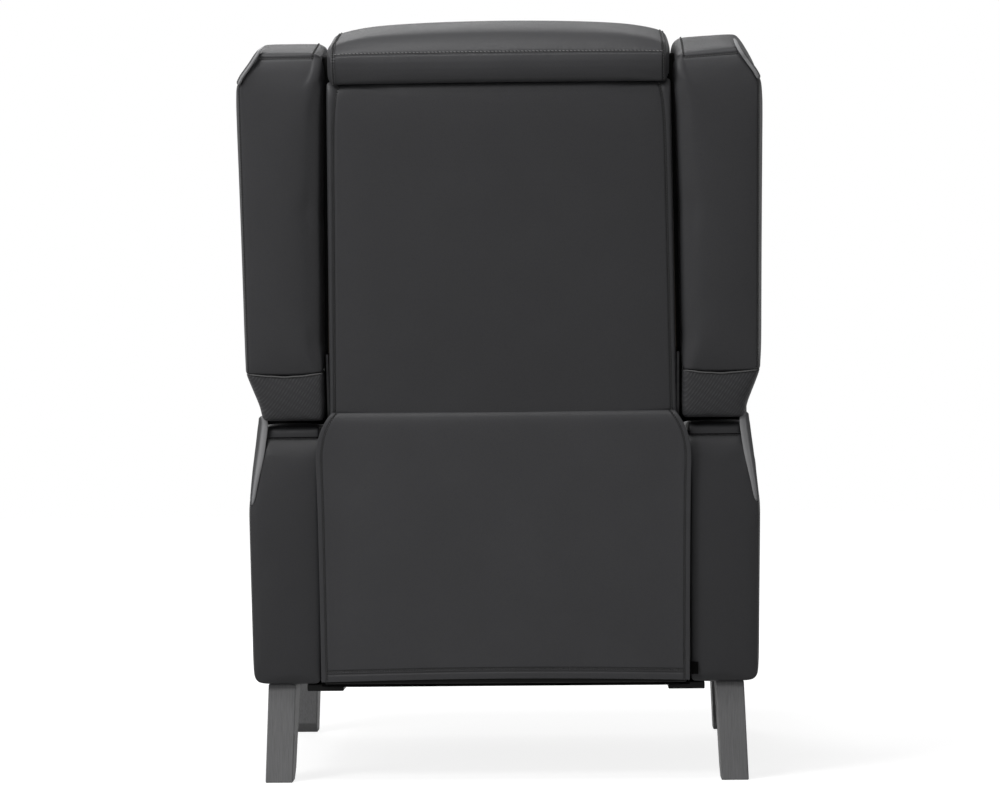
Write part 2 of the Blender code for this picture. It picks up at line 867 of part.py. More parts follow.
def build_seat():
    half = seat_cushion_width / 2
    mesh = cushion("seat_cushion", -seat_cushion_length, 0, half, half,
                   seat_cushion_thickness, seat_crown, (9, 6), channels=3,
                   groove=seat_groove, draw=seat_draw)
    soft("seat_cushion", mesh, facing_up, (0, 0, 0), leather, seat_origin)

    top = -rest_gap
    bottom = top - seat_rail_height
    inner = seat_frame_width / 2 - seat_rail_width
    front = seat_frame_setback
    rear = seat_frame_setback + seat_frame_length
    plate_gap = plate_layer - rest_gap
    side = box_mesh(
        "seat_rail",
        (inner, front + seat_rail_width + rest_gap, bottom),
        (inner + seat_rail_width, rear - seat_rail_width - rest_gap, top),
    )
    for rail in pair("seat_rail", side, timber, seat_origin):
        bevel(rail, seat_rail_edge, 1)
    across = (
        ("seat_rail_front", seat_frame_width / 2, front, bottom, top, timber),
        ("seat_rail_rear", plate_gap, rear - seat_rail_width, bottom, top, timber),
    )
    for name, half, start, low, high, finish in across:
        mesh = box_mesh(name, (-half, start, low), (half, start + seat_rail_width, high))
        bevel(place(name, mesh, finish, seat_origin), seat_rail_edge, 1)
    low = (-plate_gap, seat_beam_setback, bottom - rest_gap - seat_beam_height)
    high = (plate_gap, seat_beam_setback + seat_beam_width, bottom - rest_gap)
    beam = place("seat_beam", box_mesh("seat_beam", low, high), black_steel, seat_origin)
    bevel(beam, square_tube_edge, 1)


def wire_mesh(name, points, radius):
    curve = bpy.data.curves.new(name, "CURVE")
    curve.dimensions = "3D"
    curve.bevel_depth = radius
    curve.bevel_resolution = 0
    curve.use_fill_caps = True
    spline = curve.splines.new("POLY")
    spline.points.add(len(points) - 1)
    for target, (x, y, z) in zip(spline.points, points):
        target.co = (x, y, z, 1)
    shape = bpy.data.objects.new(name, curve)
    cutters.objects.link(shape)
    mesh = evaluated(shape)
    bpy.data.objects.remove(shape)
    bm = bmesh.new()
    bm.from_mesh(mesh)
    bmesh.ops.remove_doubles(bm, verts=bm.verts, dist=radius / 100)
    return mesh_of(bm, name)


# Places of the springs' cross wires, from the front rail to the rear one
tie_shares = (0.25, 0.5, 0.75)


def build_springs():
    """Sinuous springs from the front rail to the rear rail, tied by cross wires. The
    springs of one half sway the other way, so that the halves mirror each other."""
    start = seat_frame_setback + seat_rail_width + rest_gap
    end = seat_frame_setback + seat_frame_length - seat_rail_width - rest_gap
    level = -spring_drop - rest_gap
    lead = spring_wire * 3
    steps = spring_waves * 8
    meshes = []
    for number in range(spring_count):
        middle = (number - (spring_count - 1) / 2) * spring_spacing
        widest = math.copysign(spring_sway, middle)
        points = [(middle + widest, start, level)]
        for i in range(steps + 1):
            angle = 2 * math.pi * spring_waves * i / steps
            sway = widest * math.cos(angle)
            reach = start + lead + (end - start - 2 * lead) * i / steps
            points.append((middle + sway, reach, level))
        points.append((middle + widest, end, level))
        meshes.append(wire_mesh("spring", points, spring_wire))
    half = seat_frame_width / 2 - seat_rail_width - rest_gap
    for share in tie_shares:
        at = start + (end - start) * share
        meshes.append(rod_mesh("tie", tie_radius, -half, half, (at, level - spring_wire), 8))
    place("seat_springs", fused("seat_springs", meshes), spring_steel, seat_origin)


def wing_inside(rise):
    share = (rise - wing_bottom) / (wing_top - wing_bottom)
    return wing_gap_low + (wing_gap_high - wing_gap_low) * share


def wing_ring(rise, inset, outside=None):
    share = (rise - wing_bottom) / (wing_top - wing_bottom)
    front = wing_front_low + (wing_front_high - wing_front_low) * share
    if outside is None:
        outside = wing_outside_low + (wing_outside_high - wing_outside_low) * share
    corners = [
        (wing_inside(rise), back_rear),
        (wing_inside(rise), -front),
        (outside, -front),
        (outside, back_rear),
    ]
    radii = [wing_edge, wing_front_round, wing_front_round, wing_rear_round]
    outline = rounded(offset(corners, inset), radii)
    return [(x, y, rise) for x, y in outline]


def build_wings():
    start = wing_seam + rest_gap
    cant_start = wing_top - wing_cant
    rings = [wing_ring(start, wing_edge / 2), wing_ring(start + wing_edge, 0)]
    for share in (0.2, 0.45, 0.7, 0.9):
        rings.append(wing_ring(start + (cant_start - start) * share, 0))
    for share, inset in ((0, 0), (0.5, 0), (0.85, wing_edge), (1, wing_edge * 3)):
        rise = cant_start + wing_cant * share
        rings.append(wing_ring(rise, inset, wing_outside_high - wing_cant * share))
    pair("wing", loft("wing", rings), leather, back_pivot)

    foot = wing_bottom + wing_foot_rise
    narrow = wing_outside_low - wing_foot_draw
    rings = [
        wing_ring(wing_bottom, wing_edge * 2.5, narrow),
        wing_ring(wing_bottom + wing_edge, wing_edge / 2, narrow),
        wing_ring(foot, 0, narrow),
        wing_ring((foot + wing_seam) / 2, 0, (narrow + wing_outside_low) / 2),
        wing_ring(wing_seam - wing_edge, 0, wing_outside_low),
        wing_ring(wing_seam, wing_edge / 2, wing_outside_low),
    ]
    pair("wing_pad", loft("wing_pad", rings), patterned, back_pivot)

    start = (wing_outside_high - wing_cant - welt_width, wing_top - wing_edge)
    end = (wing_outside_high - welt_width, wing_top - wing_cant - welt_width)
    mesh = strip_mesh("wing_welt", start, end, back_rear + rest_gap)
    pair("wing_welt", mesh, trim_leather, back_pivot)


def half_back(rise):
    share = (rise - wing_bottom) / (back_top - wing_bottom)
    return (back_width_low + (back_width_high - back_width_low) * share) / 2


def build_back_frame():
    outside = plate_layer - running_gap - bar_thickness - bracket_thickness
    outside = min(outside, back_width_low / 2)
    rear = back_rear - panel_thickness - rest_gap
    top = back_top - upright_end
    rings = []
    for rise, face in (
        (back_bottom, outside),
        (bracket_top, outside),
        (top, wing_inside(top) - upright_lean),
    ):
        inner = face - upright_width
        front = rear - upright_depth
        rings.append([(inner, front, rise), (face, front, rise), (face, rear, rise),
                      (inner, rear, rise)])
    for upright in pair("back_upright", loft("back_upright", rings), timber, back_pivot):
        bevel(upright, frame_edge, 1)
    rail_rear = rear - upright_depth - rest_gap
    rails = (
        ("back_rail_low", low_rail_rise, outside),
        ("back_rail_middle", middle_rail_rise, None),
        ("back_rail_top", top_rail_rise, None),
    )
    for name, rise, half in rails:
        top = rise + cross_rail_height
        half = half or wing_inside(top) - rest_gap
        low = (-half, rail_rear - cross_rail_depth, rise)
        rail = place(name, box_mesh(name, low, (half, rail_rear, top)), timber, back_pivot)
        bevel(rail, frame_edge, 1)

    lean = rear - upright_depth / 2
    half = bracket_width / 2
    outline = arc((0, 0), bracket_boss, 200, 340, 6)
    outline += [(half - lean, back_bottom), (half - lean, bracket_top)]
    outline += [(-half - lean, bracket_top), (-half - lean, back_bottom)]
    holes = [circle((0, 0), bolt_radius + pin_slack)]
    for share in (0.5, 0.85):
        holes.append(circle((-lean, bracket_top * share), pin_radius, 10))
    inner = outside + rest_gap
    mesh = plate_mesh("back_bracket", outline, holes, inner, bracket_thickness)
    pair("back_bracket", mesh, zinc, back_pivot)


def build_pivot_bolts():
    """A shoulder bolt: head, shank through the bracket, collar, and end in the plate."""
    outside = min(plate_layer - running_gap - bar_thickness - bracket_thickness,
                  back_width_low / 2)
    inner = outside + rest_gap
    centre = (pivot_rear, pivot_height)
    head = rod_mesh("head", bolt_head, inner - rest_gap - bolt_head_length, inner - rest_gap,
                    centre, 12)
    shank = rod_mesh("shank", bolt_radius, inner - rest_gap - bolt_head_length / 2,
                     bolt_layer - rest_gap, centre)
    collar = rod_mesh("collar", bolt_head, inner + bracket_thickness + rest_gap,
                      plate_layer - rest_gap, centre)
    pair("pivot_bolt", fused("pivot_bolt", [shank, head, collar]), zinc)


def build_back_cushions():
    rear = back_rear - panel_thickness - rest_gap - upright_depth - rest_gap
    rear -= cross_rail_depth + rest_gap
    narrow = back_width_low / 2 - rest_gap
    pads = (
        ("lumbar_cushion", back_bottom, lumbar_top, narrow, narrow, lumbar_crown, (9, 4), 3),
        ("shoulder_cushion", lumbar_top + rest_gap, shoulder_top, None, None,
         shoulder_crown, (9, 4), 3),
        ("head_cushion", shoulder_top + rest_gap, back_top - rest_gap, None, None,
         head_crown, (6, 3), 1),
    )
    for name, low, high, half_low, half_high, crown, cells, channels in pads:
        half_low = half_low or wing_inside(low) - rest_gap
        half_high = half_high or wing_inside(high) - rest_gap
        mesh = cushion(name, low, high, half_low, half_high, cushion_depth, crown, cells,
                       channels=channels, groove=channel_groove, draw=cushion_draw)
        soft(name, mesh, facing_forward, (0, rear, 0), leather, back_pivot)
    face = back_rear - panel_thickness
    mesh = cushion("back_panel", back_bottom, back_top - rest_gap, half_back(back_bottom),
                   half_back(back_top), panel_thickness - panel_crown, panel_crown, (5, 5))
    soft("back_panel", mesh, facing_rear, (0, face, 0), leather, back_pivot)


def build_head_roll():
    """A padded roll over the top of the back, lofted from side to side."""
    rear = back_rear + roll_overhang
    rings = []
    for share in (-1, -0.97, -0.75, -0.4, 0, 0.4, 0.75, 0.97, 1):
        crest = roll_crest - roll_crest_fall * share**2
        band = back_top + roll_band - roll_crest_fall * share**2 / 3
        corners = [
            (rear, back_top),
            (rear, band),
            (rear - roll_band, crest),
            (-roll_front / 2, crest),
            (-roll_front, band),
            (-roll_front, back_top),
        ]
        radii = [wing_edge, roll_round, roll_round, roll_round, roll_round, roll_round / 2]
        inset = wing_edge if abs(share) == 1 else 0
        outline = rounded(offset(corners, inset), radii)
        rings.append([(share * roll_width / 2, y, z) for y, z in outline])
    place("head_roll", loft("head_roll", rings), leather, back_pivot)


def build_flap():
    """A cloth sheet from the back's lower edge down to the rear tube, in soft folds."""
    columns, rows = 18, 12
    bm = bmesh.new()
    bmesh.ops.create_grid(bm, x_segments=columns, y_segments=rows, size=1)
    neck = (flap_wide_height - flap_bottom) / (flap_top - flap_bottom)
    for vert in bm.verts:
        across, share = vert.co.x, (vert.co.y + 1) / 2
        if share > neck:
            ease = ((share - neck) / (1 - neck)) ** 2
            half = flap_wide / 2 + (flap_top_width - flap_wide) / 2 * ease
        else:
            half = flap_bottom_width / 2 + (flap_wide - flap_bottom_width) / 2 * share / neck
        arch = flap_hem_arch * (1 - across**2) * (1 - share)
        fold = flap_fold * (1 + math.cos(math.pi * (flap_folds * across + 1))) / 2
        fold *= math.sin(math.pi * share)
        height = flap_bottom + arch + (flap_top - flap_bottom - arch) * share
        vert.co = (across * half, flap_front + flap_thickness / 2 + fold, height)
    mesh = mesh_of(bm, "rear_flap")
    flap = place("rear_flap", mesh, cloth)
    shell = flap.modifiers.new("cloth_thickness", "SOLIDIFY")
    shell.thickness = flap_thickness
    shell.offset = 0


build_arms()
build_arm_pads()
build_arm_fronts()
build_arm_welts()
build_legs()
build_base()
build_side_plates()
build_links()
build_tilt_links()
build_footrest()
build_seat()
build_springs()
build_wings()
build_back_frame()
build_pivot_bolts()
build_back_cushions()
build_head_roll()
build_flap()
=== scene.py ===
import math

import bmesh
import bpy
from mathutils import Matrix, Vector, noise
from mathutils.bvhtree import BVHTree
from mathutils.kdtree import KDTree


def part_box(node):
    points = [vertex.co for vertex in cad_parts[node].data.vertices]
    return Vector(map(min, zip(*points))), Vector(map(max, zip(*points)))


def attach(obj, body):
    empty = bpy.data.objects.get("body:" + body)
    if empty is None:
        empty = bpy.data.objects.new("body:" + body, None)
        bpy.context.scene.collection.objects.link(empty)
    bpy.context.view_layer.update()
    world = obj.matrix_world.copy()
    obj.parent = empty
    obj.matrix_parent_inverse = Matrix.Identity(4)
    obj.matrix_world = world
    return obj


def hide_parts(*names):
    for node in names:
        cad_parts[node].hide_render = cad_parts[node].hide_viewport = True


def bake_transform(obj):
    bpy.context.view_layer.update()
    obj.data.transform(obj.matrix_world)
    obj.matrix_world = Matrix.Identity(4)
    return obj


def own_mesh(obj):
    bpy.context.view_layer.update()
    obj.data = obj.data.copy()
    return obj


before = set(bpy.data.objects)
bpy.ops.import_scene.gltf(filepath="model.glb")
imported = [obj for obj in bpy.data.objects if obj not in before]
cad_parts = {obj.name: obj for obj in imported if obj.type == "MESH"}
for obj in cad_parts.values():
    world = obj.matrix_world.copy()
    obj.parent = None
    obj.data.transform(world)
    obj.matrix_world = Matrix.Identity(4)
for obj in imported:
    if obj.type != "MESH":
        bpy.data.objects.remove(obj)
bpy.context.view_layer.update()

print("frame loaded")

# The photograph's view
view = {
    "distance": 4.0,          # from the camera to the flap
    "aim": (0.0, 0.292, 0.515),
    "turn": 1.3,              # degrees, round towards the sitter's right
    "roll": -0.54,            # degrees, the sitter's right side up
    "lens": 107.1,
    "sensor": 36,
    "shiftX": -0.0029,
}


def placeCamera():
    turn = math.radians(view["turn"])
    ahead = Vector((math.sin(turn), -math.cos(turn), 0))
    camera = bpy.data.objects.new("camera", bpy.data.cameras.new("camera"))
    camera.location = Vector(view["aim"]) - ahead * view["distance"]
    level = Matrix.Rotation(math.pi + turn, 4, "Z") @ Matrix.Rotation(math.pi / 2, 4, "X")
    roll = Matrix.Rotation(math.radians(view["roll"]), 4, "Z")
    camera.rotation_euler = (level @ roll).to_euler()
    camera.data.lens = view["lens"]
    camera.data.sensor_width = view["sensor"]
    camera.data.shift_x = view["shiftX"]
    bpy.context.scene.collection.objects.link(camera)
    bpy.context.scene.camera = camera


# Shader maths: a Value wraps a socket, so that masks are written as sums
class Value:
    def __init__(self, finish, socket):
        self.finish = finish
        self.socket = socket

    def __add__(self, other):
        return self.finish.maths("ADD", self, other)

    def __radd__(self, other):
        return self.finish.maths("ADD", other, self)

    def __sub__(self, other):
        return self.finish.maths("SUBTRACT", self, other)

    def __rsub__(self, other):
        return self.finish.maths("SUBTRACT", other, self)

    def __mul__(self, other):
        return self.finish.maths("MULTIPLY", self, other)

    def __rmul__(self, other):
        return self.finish.maths("MULTIPLY", other, self)

    def __pow__(self, other):
        return self.finish.maths("POWER", self, other)


class Graph:
    def __init__(self, tree):
        self.nodes = tree.nodes
        self.links = tree.links

    def add(self, kind, settings=None, inputs=None, output=0):
        made = self.nodes.new(kind)
        for name, setting in (settings or {}).items():
            setattr(made, name, setting)
        for name, given in (inputs or {}).items():
            self.feed(made.inputs[name], given)
        return Value(self, made.outputs[output])

    def feed(self, socket, given):
        if isinstance(given, Value):
            self.links.new(given.socket, socket)
        else:
            socket.default_value = given

    def maths(self, operation, one, two=0.0):
        return self.add("ShaderNodeMath", {"operation": operation}, {0: one, 1: two})

    def between(self, value, low, high):
        # 0 below low, 1 above high
        ends = {"Value": value, "From Min": low, "From Max": high}
        return self.add("ShaderNodeMapRange", {"clamp": True}, ends)

    def seenDirectly(self):
        # by the camera, in a reflection or through glass
        path = self.add("ShaderNodeLightPath", output="Is Camera Ray").socket.node.outputs
        seen = Value(self, path["Is Camera Ray"]) + Value(self, path["Is Glossy Ray"])
        seen = seen + Value(self, path["Is Transmission Ray"])
        return self.maths("MINIMUM", seen, 1.0)

    def mix(self, factor, one, two):
        return self.add(
            "ShaderNodeMix", {"data_type": "RGBA"}, {0: factor, 6: one, 7: two}, output=2
        )

    def shade(self, factor, low, high, blue=0.0):
        return self.mix(factor, grey(low, blue), grey(high, blue))


class Finish(Graph):
    def __init__(self, name):
        self.material = bpy.data.materials.new(name)
        self.material.use_nodes = True
        super().__init__(self.material.node_tree)
        self.shader = self.nodes["Principled BSDF"]
        self.place = self.add("ShaderNodeTexCoord", output="Object")

    def stretched(self, scale):
        return self.add("ShaderNodeMapping", {}, {"Vector": self.place, "Scale": scale})

    def noise(self, size, detail=2.0, at=None, rough=0.5):
        inputs = {"Vector": at or self.place, "Scale": 1 / size, "Detail": detail,
                  "Roughness": rough}
        return self.add("ShaderNodeTexNoise", {}, inputs)

    def cells(self, size, feature="F1", at=None):
        inputs = {"Vector": at or self.place, "Scale": 1 / size}
        return self.add("ShaderNodeTexVoronoi", {"feature": feature}, inputs)

    def painted(self, name):
        # a value that the mesh carries on its vertices
        return self.add("ShaderNodeAttribute", {"attribute_name": name}, output="Fac")

    def bump(self, height, depth, under=None):
        inputs = {"Height": height, "Distance": depth, "Strength": 1.0}
        if under:
            inputs["Normal"] = under
        return self.add("ShaderNodeBump", {}, inputs)

    def set(self, **given):
        for name, value in given.items():
            self.feed(self.shader.inputs[name.replace("_", " ")], value)
        return self.material


def grey(share, blue=0.0):
    linear = [c / 12.92 if c < 0.04045 else ((c + 0.055) / 1.055) ** 2.4
              for c in (share, share, share + blue)]
    return (*linear, 1.0)


hideLook = {
    "grey": 0.24,
    "blue": 0.007,
    "pebble": 0.0015,        # metres across one grain
    "grainDepth": 0.00005,
    "roughness": 0.36,
    "grazing": 0.28,         # rougher where it is seen edge on
    "wave": 0.0012,          # height of the slow waves in the hide
    "drift": (260.0, 0.0012),    # how fine and how far the grain is bent
    "patch": 0.07,
    "patchGreys": (0.014, 0.012),
    "swell": 0.11,
    "pucker": (0.007, 0.0007),   # size and depth of the folds beside a seam
}


def hide(name, look):
    # embossed synthetic leather; "seam" and "near" come from the mesh
    made = Finish(name)
    fineness, shift = look["drift"]
    drift = made.add("ShaderNodeTexNoise", {}, {"Vector": made.place, "Scale": fineness},
                     output="Color")
    bent = made.add(
        "ShaderNodeVectorMath",
        {"operation": "MULTIPLY_ADD"},
        {0: drift, 1: (shift, shift, shift), 2: made.place},
    )
    valley = made.between(made.cells(look["pebble"], "DISTANCE_TO_EDGE", bent), 0.0, 0.16)
    pores = made.noise(look["pebble"] * 0.35, 2.0)
    patches = made.noise(look["patch"], 3.0)
    slow = made.noise(look["swell"], 2.0)
    seam = made.painted("seam")
    near = made.painted("near")
    foldSize, foldDepth = look["pucker"]
    pucker = made.noise(foldSize, 2.0, made.stretched((1, 1, 0.35)))
    paler, darker = look["patchGreys"]
    colour = made.shade(patches, look["grey"] - darker, look["grey"] + paler, look["blue"])
    colour = made.mix(0.35 * (1 - valley), colour, grey(look["grey"] * 0.72, look["blue"]))
    # painted shade: the colour darkens along the sewn lines, where their grooves lie in shade
    colour = made.mix(seam ** 3.0 * 0.25, colour, grey(look["grey"] * 0.3))
    edgeOn = made.add("ShaderNodeLayerWeight", {}, {"Blend": 0.5}, output="Facing")
    rough = look["roughness"] + 0.1 * (patches - 0.5) + 0.12 * (1 - valley)
    rough = rough + look["grazing"] * made.between(edgeOn, 0.55, 0.9)
    broad = made.bump(slow, look["wave"])
    folds = made.bump(pucker * near - 0.8 * seam, foldDepth, broad)
    fine = made.bump(0.75 * valley + 0.25 * pores, look["grainDepth"], folds)
    return made.set(
        Base_Color=colour,
        Roughness=rough,
        Normal=fine,
        Specular_IOR_Level=0.2,
    )


ribs = {"pitch": 0.0042, "breaks": 0.0095, "depth": 0.0003}


def patternedHide(name):
    # the lower pads of the wings: short slanting ribs pressed into the leather
    made = Finish(name)
    split = made.add("ShaderNodeSeparateXYZ", {}, {0: made.place}, output="X")
    parts = split.socket.node.outputs
    across = Value(made, parts["X"]) + Value(made, parts["Y"])
    rise = Value(made, parts["Z"])
    slant = made.maths("SINE", (across * 0.9 + rise * 0.42) * (2 * math.pi / ribs["pitch"]))
    broken = made.maths("SINE", (across * 0.42 - rise * 0.9) * (2 * math.pi / ribs["breaks"]))
    rib = made.between(slant + 0.35 * broken, 0.1, 0.9)
    pores = made.noise(0.0009, 2.0)
    patches = made.noise(0.05, 3.0)
    seam = made.painted("seam")
    colour = made.shade(patches, 0.215, 0.235, 0.006)
    colour = made.mix(0.45 * rib, colour, grey(0.32, 0.008))
    # painted shade: the colour darkens strongly along a sewn line, where its groove lies in shade
    colour = made.mix(seam * 0.7, colour, grey(0.09))
    normal = made.bump(0.8 * rib + 0.2 * pores - 2.0 * seam, ribs["depth"])
    rough = 0.56 - 0.08 * rib + 0.1 * (patches - 0.5)
    return made.set(Base_Color=colour, Roughness=rough, Normal=normal,
                    Specular_IOR_Level=0.2)


def weltCloth(name):
    made = Finish(name)
    weave = made.cells(0.0008)
    patches = made.noise(0.02, 3.0)
    colour = made.shade(patches, 0.5, 0.55, 0.006)
    # painted shade: the outer flank of the fold is coloured darker
    colour = made.mix(made.painted("shadedFlank"), colour, grey(0.2, 0.006))
    normal = made.bump(weave, 0.00012)
    return made.set(Base_Color=colour, Roughness=0.55 + 0.1 * patches, Normal=normal)


def threadFinish(name, share):
    made = Finish(name)
    twist = made.maths("SINE", made.noise(0.0006, 0.0) * 20.0)
    colour = made.shade(0.5 + 0.5 * twist, share * 0.85, share * 1.1)
    return made.set(Base_Color=colour, Roughness=0.6 + 0.05 * twist)


def legFinish(name):
    # grey stain over straight grain
    made = Finish(name)
    grain = made.noise(0.0011, 4.0, made.stretched((1, 1, 0.035)), 0.65)
    pores = made.noise(0.0005, 1.0, made.stretched((1, 1, 0.02)))
    patches = made.noise(0.06, 2.0)
    colour = made.shade(made.between(grain, 0.3, 0.7), 0.475, 0.56, 0.004)
    colour = made.mix(0.35 * made.between(pores, 0.62, 0.72), colour, grey(0.3))
    colour = made.mix(0.3 * patches, colour, grey(0.42))
    normal = made.bump(0.6 * grain + 0.4 * pores, 0.00012)
    return made.set(Base_Color=colour, Roughness=0.5 + 0.16 * grain, Normal=normal,
                    Specular_IOR_Level=0.2)


def paintedSteel(name):
    made = Finish(name)
    peel = made.noise(0.0012, 2.0)
    dust = made.between(made.noise(0.03, 5.0), 0.5, 0.75)
    colour = made.shade(0.25 * dust, 0.03, 0.1)
    normal = made.bump(peel, 0.00008)
    return made.set(Base_Color=colour, Roughness=0.5 + 0.2 * dust, Normal=normal,
                    Specular_IOR_Level=0.12)


def platedSteel(name, low=0.6, high=0.7):
    made = Finish(name)
    spangle = made.cells(0.006)
    scratch = made.noise(0.0006, 3.0, made.stretched((1, 0.06, 1)))
    colour = made.mix(spangle, grey(low, 0.006), grey(high, 0.0))
    rough = 0.3 + 0.14 * spangle + 0.1 * scratch
    normal = made.bump(scratch, 0.00003)
    return made.set(Base_Color=colour, Roughness=rough, Metallic=1.0, Normal=normal)


plyThick = 0.003


def plywood(name, stain=1.0):
    made = Finish(name)
    split = made.add("ShaderNodeSeparateXYZ", {}, {0: made.place}, output="Z")
    plies = made.maths("SINE", split * (2 * math.pi / plyThick))
    grain = made.noise(0.0016, 4.0, made.stretched((0.05, 1, 1)))
    # a stain below 1 darkens both tones; on the back uprights it is painted shade
    light = (0.44 * stain, 0.3 * stain, 0.16 * stain, 1)
    dark = (0.27 * stain, 0.17 * stain, 0.085 * stain, 1)
    colour = made.mix(made.between(grain, 0.3, 0.75), light, dark)
    colour = made.mix(0.25 * made.between(plies, 0.2, 0.8), colour, dark)
    normal = made.bump(grain, 0.00015)
    return made.set(Base_Color=colour, Roughness=0.7 + 0.15 * grain, Normal=normal)


def springWire(name):
    made = Finish(name)
    oil = made.noise(0.01, 3.0)
    colour = made.shade(oil, 0.22, 0.36)
    return made.set(Base_Color=colour, Roughness=0.3 + 0.25 * oil, Metallic=1.0)


def stretchCloth(name):
    made = Finish(name)
    knit = made.cells(0.0011)
    lint = made.noise(0.02, 3.0)
    # near-black: on the sheets in the gaps it is painted shade, on the tab it is the webbing's
    # own colour
    colour = made.shade(lint, 0.03, 0.07)
    return made.set(Base_Color=colour, Roughness=0.9 - 0.1 * lint,
                    Normal=made.bump(knit, 0.0002), Specular_IOR_Level=0.1)


leather = hide("grey_leather", hideLook)
flapLeather = hide("flap_leather", {**hideLook, "grey": 0.245, "wave": 0.0018})
# a shaded copy of the grey leather: its lower grey is painted shade on the arms
shadedArmLeather = hide("shaded_arm_leather", {**hideLook, "grey": 0.2})
patterned = patternedHide("patterned_leather")
weltFinish = weltCloth("welt_cloth")
darkThread = threadFinish("dark_thread", 0.035)
paleThread = threadFinish("pale_thread", 0.42)
greyThread = threadFinish("grey_thread", 0.33)
legGrey = legFinish("leg_grey")
blackSteel = paintedSteel("black_steel")
zinc = platedSteel("zinc")
blackZinc = platedSteel("black_zinc", 0.12, 0.17)
ply = plywood("plywood")
# painted shade: the dark stain stands for the shade in the slit beside the panel, where its side
# shows
shadedPly = plywood("shaded_plywood", 0.08)     # its side shows in the slit beside the panel
springSteel = springWire("spring_wire")
webbingAndShadeCloth = stretchCloth("webbing_and_shade_cloth")
print("finishes made")

nodeFinishes = (
    (legGrey, ("leg_",)),
    (blackSteel, ("base_", "seat_beam", "lift_tube", "carry_tube")),
    (ply, ("seat_rail", "back_rail", "footrest_board")),
    (shadedPly, ("back_upright",)),
    (springSteel, ("seat_springs",)),
    (blackZinc, ("back_bracket",)),
    (zinc, ("side_plate", "pivot_bolt", "footrest_bracket", "lift_link", "carry_link",
            "guide_link", "tilt_link")),
)
for nodeName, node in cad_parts.items():
    for finish, starts in nodeFinishes:
        if nodeName.startswith(starts):
            for carried in node.material_slots:
                carried.material = finish


touch = 1e-5                 # metres within which a point lies on a face

# Upholstery: a block is cut into panels, rounded, bent into place and stuffed
upholstery = {
    "roundShares": (0.3, 0.65, 1),         # where a rounded edge is cut
    "besideSeam": (0.005, 0.0095, 0.016),  # cuts beside a sewn line, where the cover turns in
    "clear": 0.6,                          # cuts keep this share of a seam's width from it
    "frames": 20,
    "smooth": (2, 0.35),                   # rounds and strength after the stuffing
    "puckers": 0.03,                       # how far from a seam the cover puckers
}


def cutPlaces(low, high, step, nearLow, nearHigh, seams, seamWidth):
    fixed = [low, high]
    fixed += [low + nearLow * share for share in upholstery["roundShares"] if nearLow]
    fixed += [high - nearHigh * share for share in upholstery["roundShares"] if nearHigh]
    kept = []
    for seam in seams:
        kept.append(seam)
        for away in (seamWidth, *upholstery["besideSeam"]):
            kept += [seam - away, seam + away]
    clear = seamWidth * upholstery["clear"]
    sewn = [k for k in kept if low < k < high]
    kept = [k for k in sewn if k in seams or all(abs(k - s) > clear for s in seams)]
    fixed = [at for at in fixed if all(abs(at - k) > clear for k in kept) or at in (low, high)]
    places = sorted(set(fixed + kept))
    filled = []
    for one, two in zip(places, places[1:]):
        count = max(1, math.ceil((two - one) / step - 0.2))
        filled += [one + (two - one) * i / count for i in range(count)]
    return filled[1:]


def cutAcross(bm, axis, places):
    facing = Vector([float(axis == i) for i in range(3)])
    for place in places:
        bmesh.ops.bisect_plane(
            bm,
            geom=bm.verts[:] + bm.edges[:] + bm.faces[:],
            dist=1e-7,
            plane_co=facing * place,
            plane_no=facing,
        )


def cutBlock(low, high, cuts):
    bm = bmesh.new()
    bmesh.ops.create_cube(bm, size=1)
    bmesh.ops.scale(bm, vec=Vector(high) - Vector(low), verts=bm.verts)
    bmesh.ops.translate(bm, vec=(Vector(low) + Vector(high)) / 2, verts=bm.verts)
    for axis, places in enumerate(cuts):
        cutAcross(bm, axis, places)
    return bm


def roundEdges(bm, low, high, nearLow, nearHigh):
    # each corner of the block becomes part of an ellipsoid
    for vert in bm.verts:
        held = Vector()
        radii = Vector()
        for axis in range(3):
            one, two = low[axis] + nearLow[axis], high[axis] - nearHigh[axis]
            held[axis] = min(max(vert.co[axis], one), max(one, two))
            radii[axis] = nearLow[axis] if vert.co[axis] < one else nearHigh[axis]
        out = Vector([(vert.co[i] - held[i]) / radii[i] if radii[i] else 0 for i in range(3)])
        if out.length > 1e-6:
            out = out / out.length * max(abs(c) for c in out)
            vert.co = held + Vector([out[i] * radii[i] for i in range(3)])


def softLimit(move, low, high):
    # no flat spot shows where the limit is met
    limits = [h if m > 0 else l for m, l, h in zip(move, low, high)]
    return Vector([m * most / (most + abs(m)) for m, most in zip(move, limits)])


def stuff(piece, pressure, low, high, pinned):
    # Cloth holds the sewn lines and blows the panels between them
    if not pressure:
        return
    scene = bpy.context.scene
    group = piece.vertex_groups.new(name="sewn")
    group.add(pinned, 1.0, "REPLACE")
    cloth = piece.modifiers.new("stuffing", "CLOTH")
    cloth.settings.quality = 4
    cloth.settings.use_pressure = True
    cloth.settings.uniform_pressure_force = pressure
    cloth.settings.vertex_group_mass = "sewn"
    cloth.settings.effector_weights.gravity = 0
    cloth.point_cache.frame_start = 1
    cloth.point_cache.frame_end = upholstery["frames"]
    for number in range(1, upholstery["frames"] + 1):
        scene.frame_set(number)
    graph = bpy.context.evaluated_depsgraph_get()
    blown = [v.co.copy() for v in piece.evaluated_get(graph).data.vertices]
    piece.modifiers.remove(cloth)
    piece.vertex_groups.clear()
    furthest = 0
    for vert, there in zip(piece.data.vertices, blown):
        move = there - vert.co
        furthest = max(furthest, move.length)
        vert.co += softLimit(move, low, high)
    scene.frame_set(1)
    relax(piece.data, set(pinned))
    print(f"  {piece.name}: blown {furthest * 1000:.1f} mm")


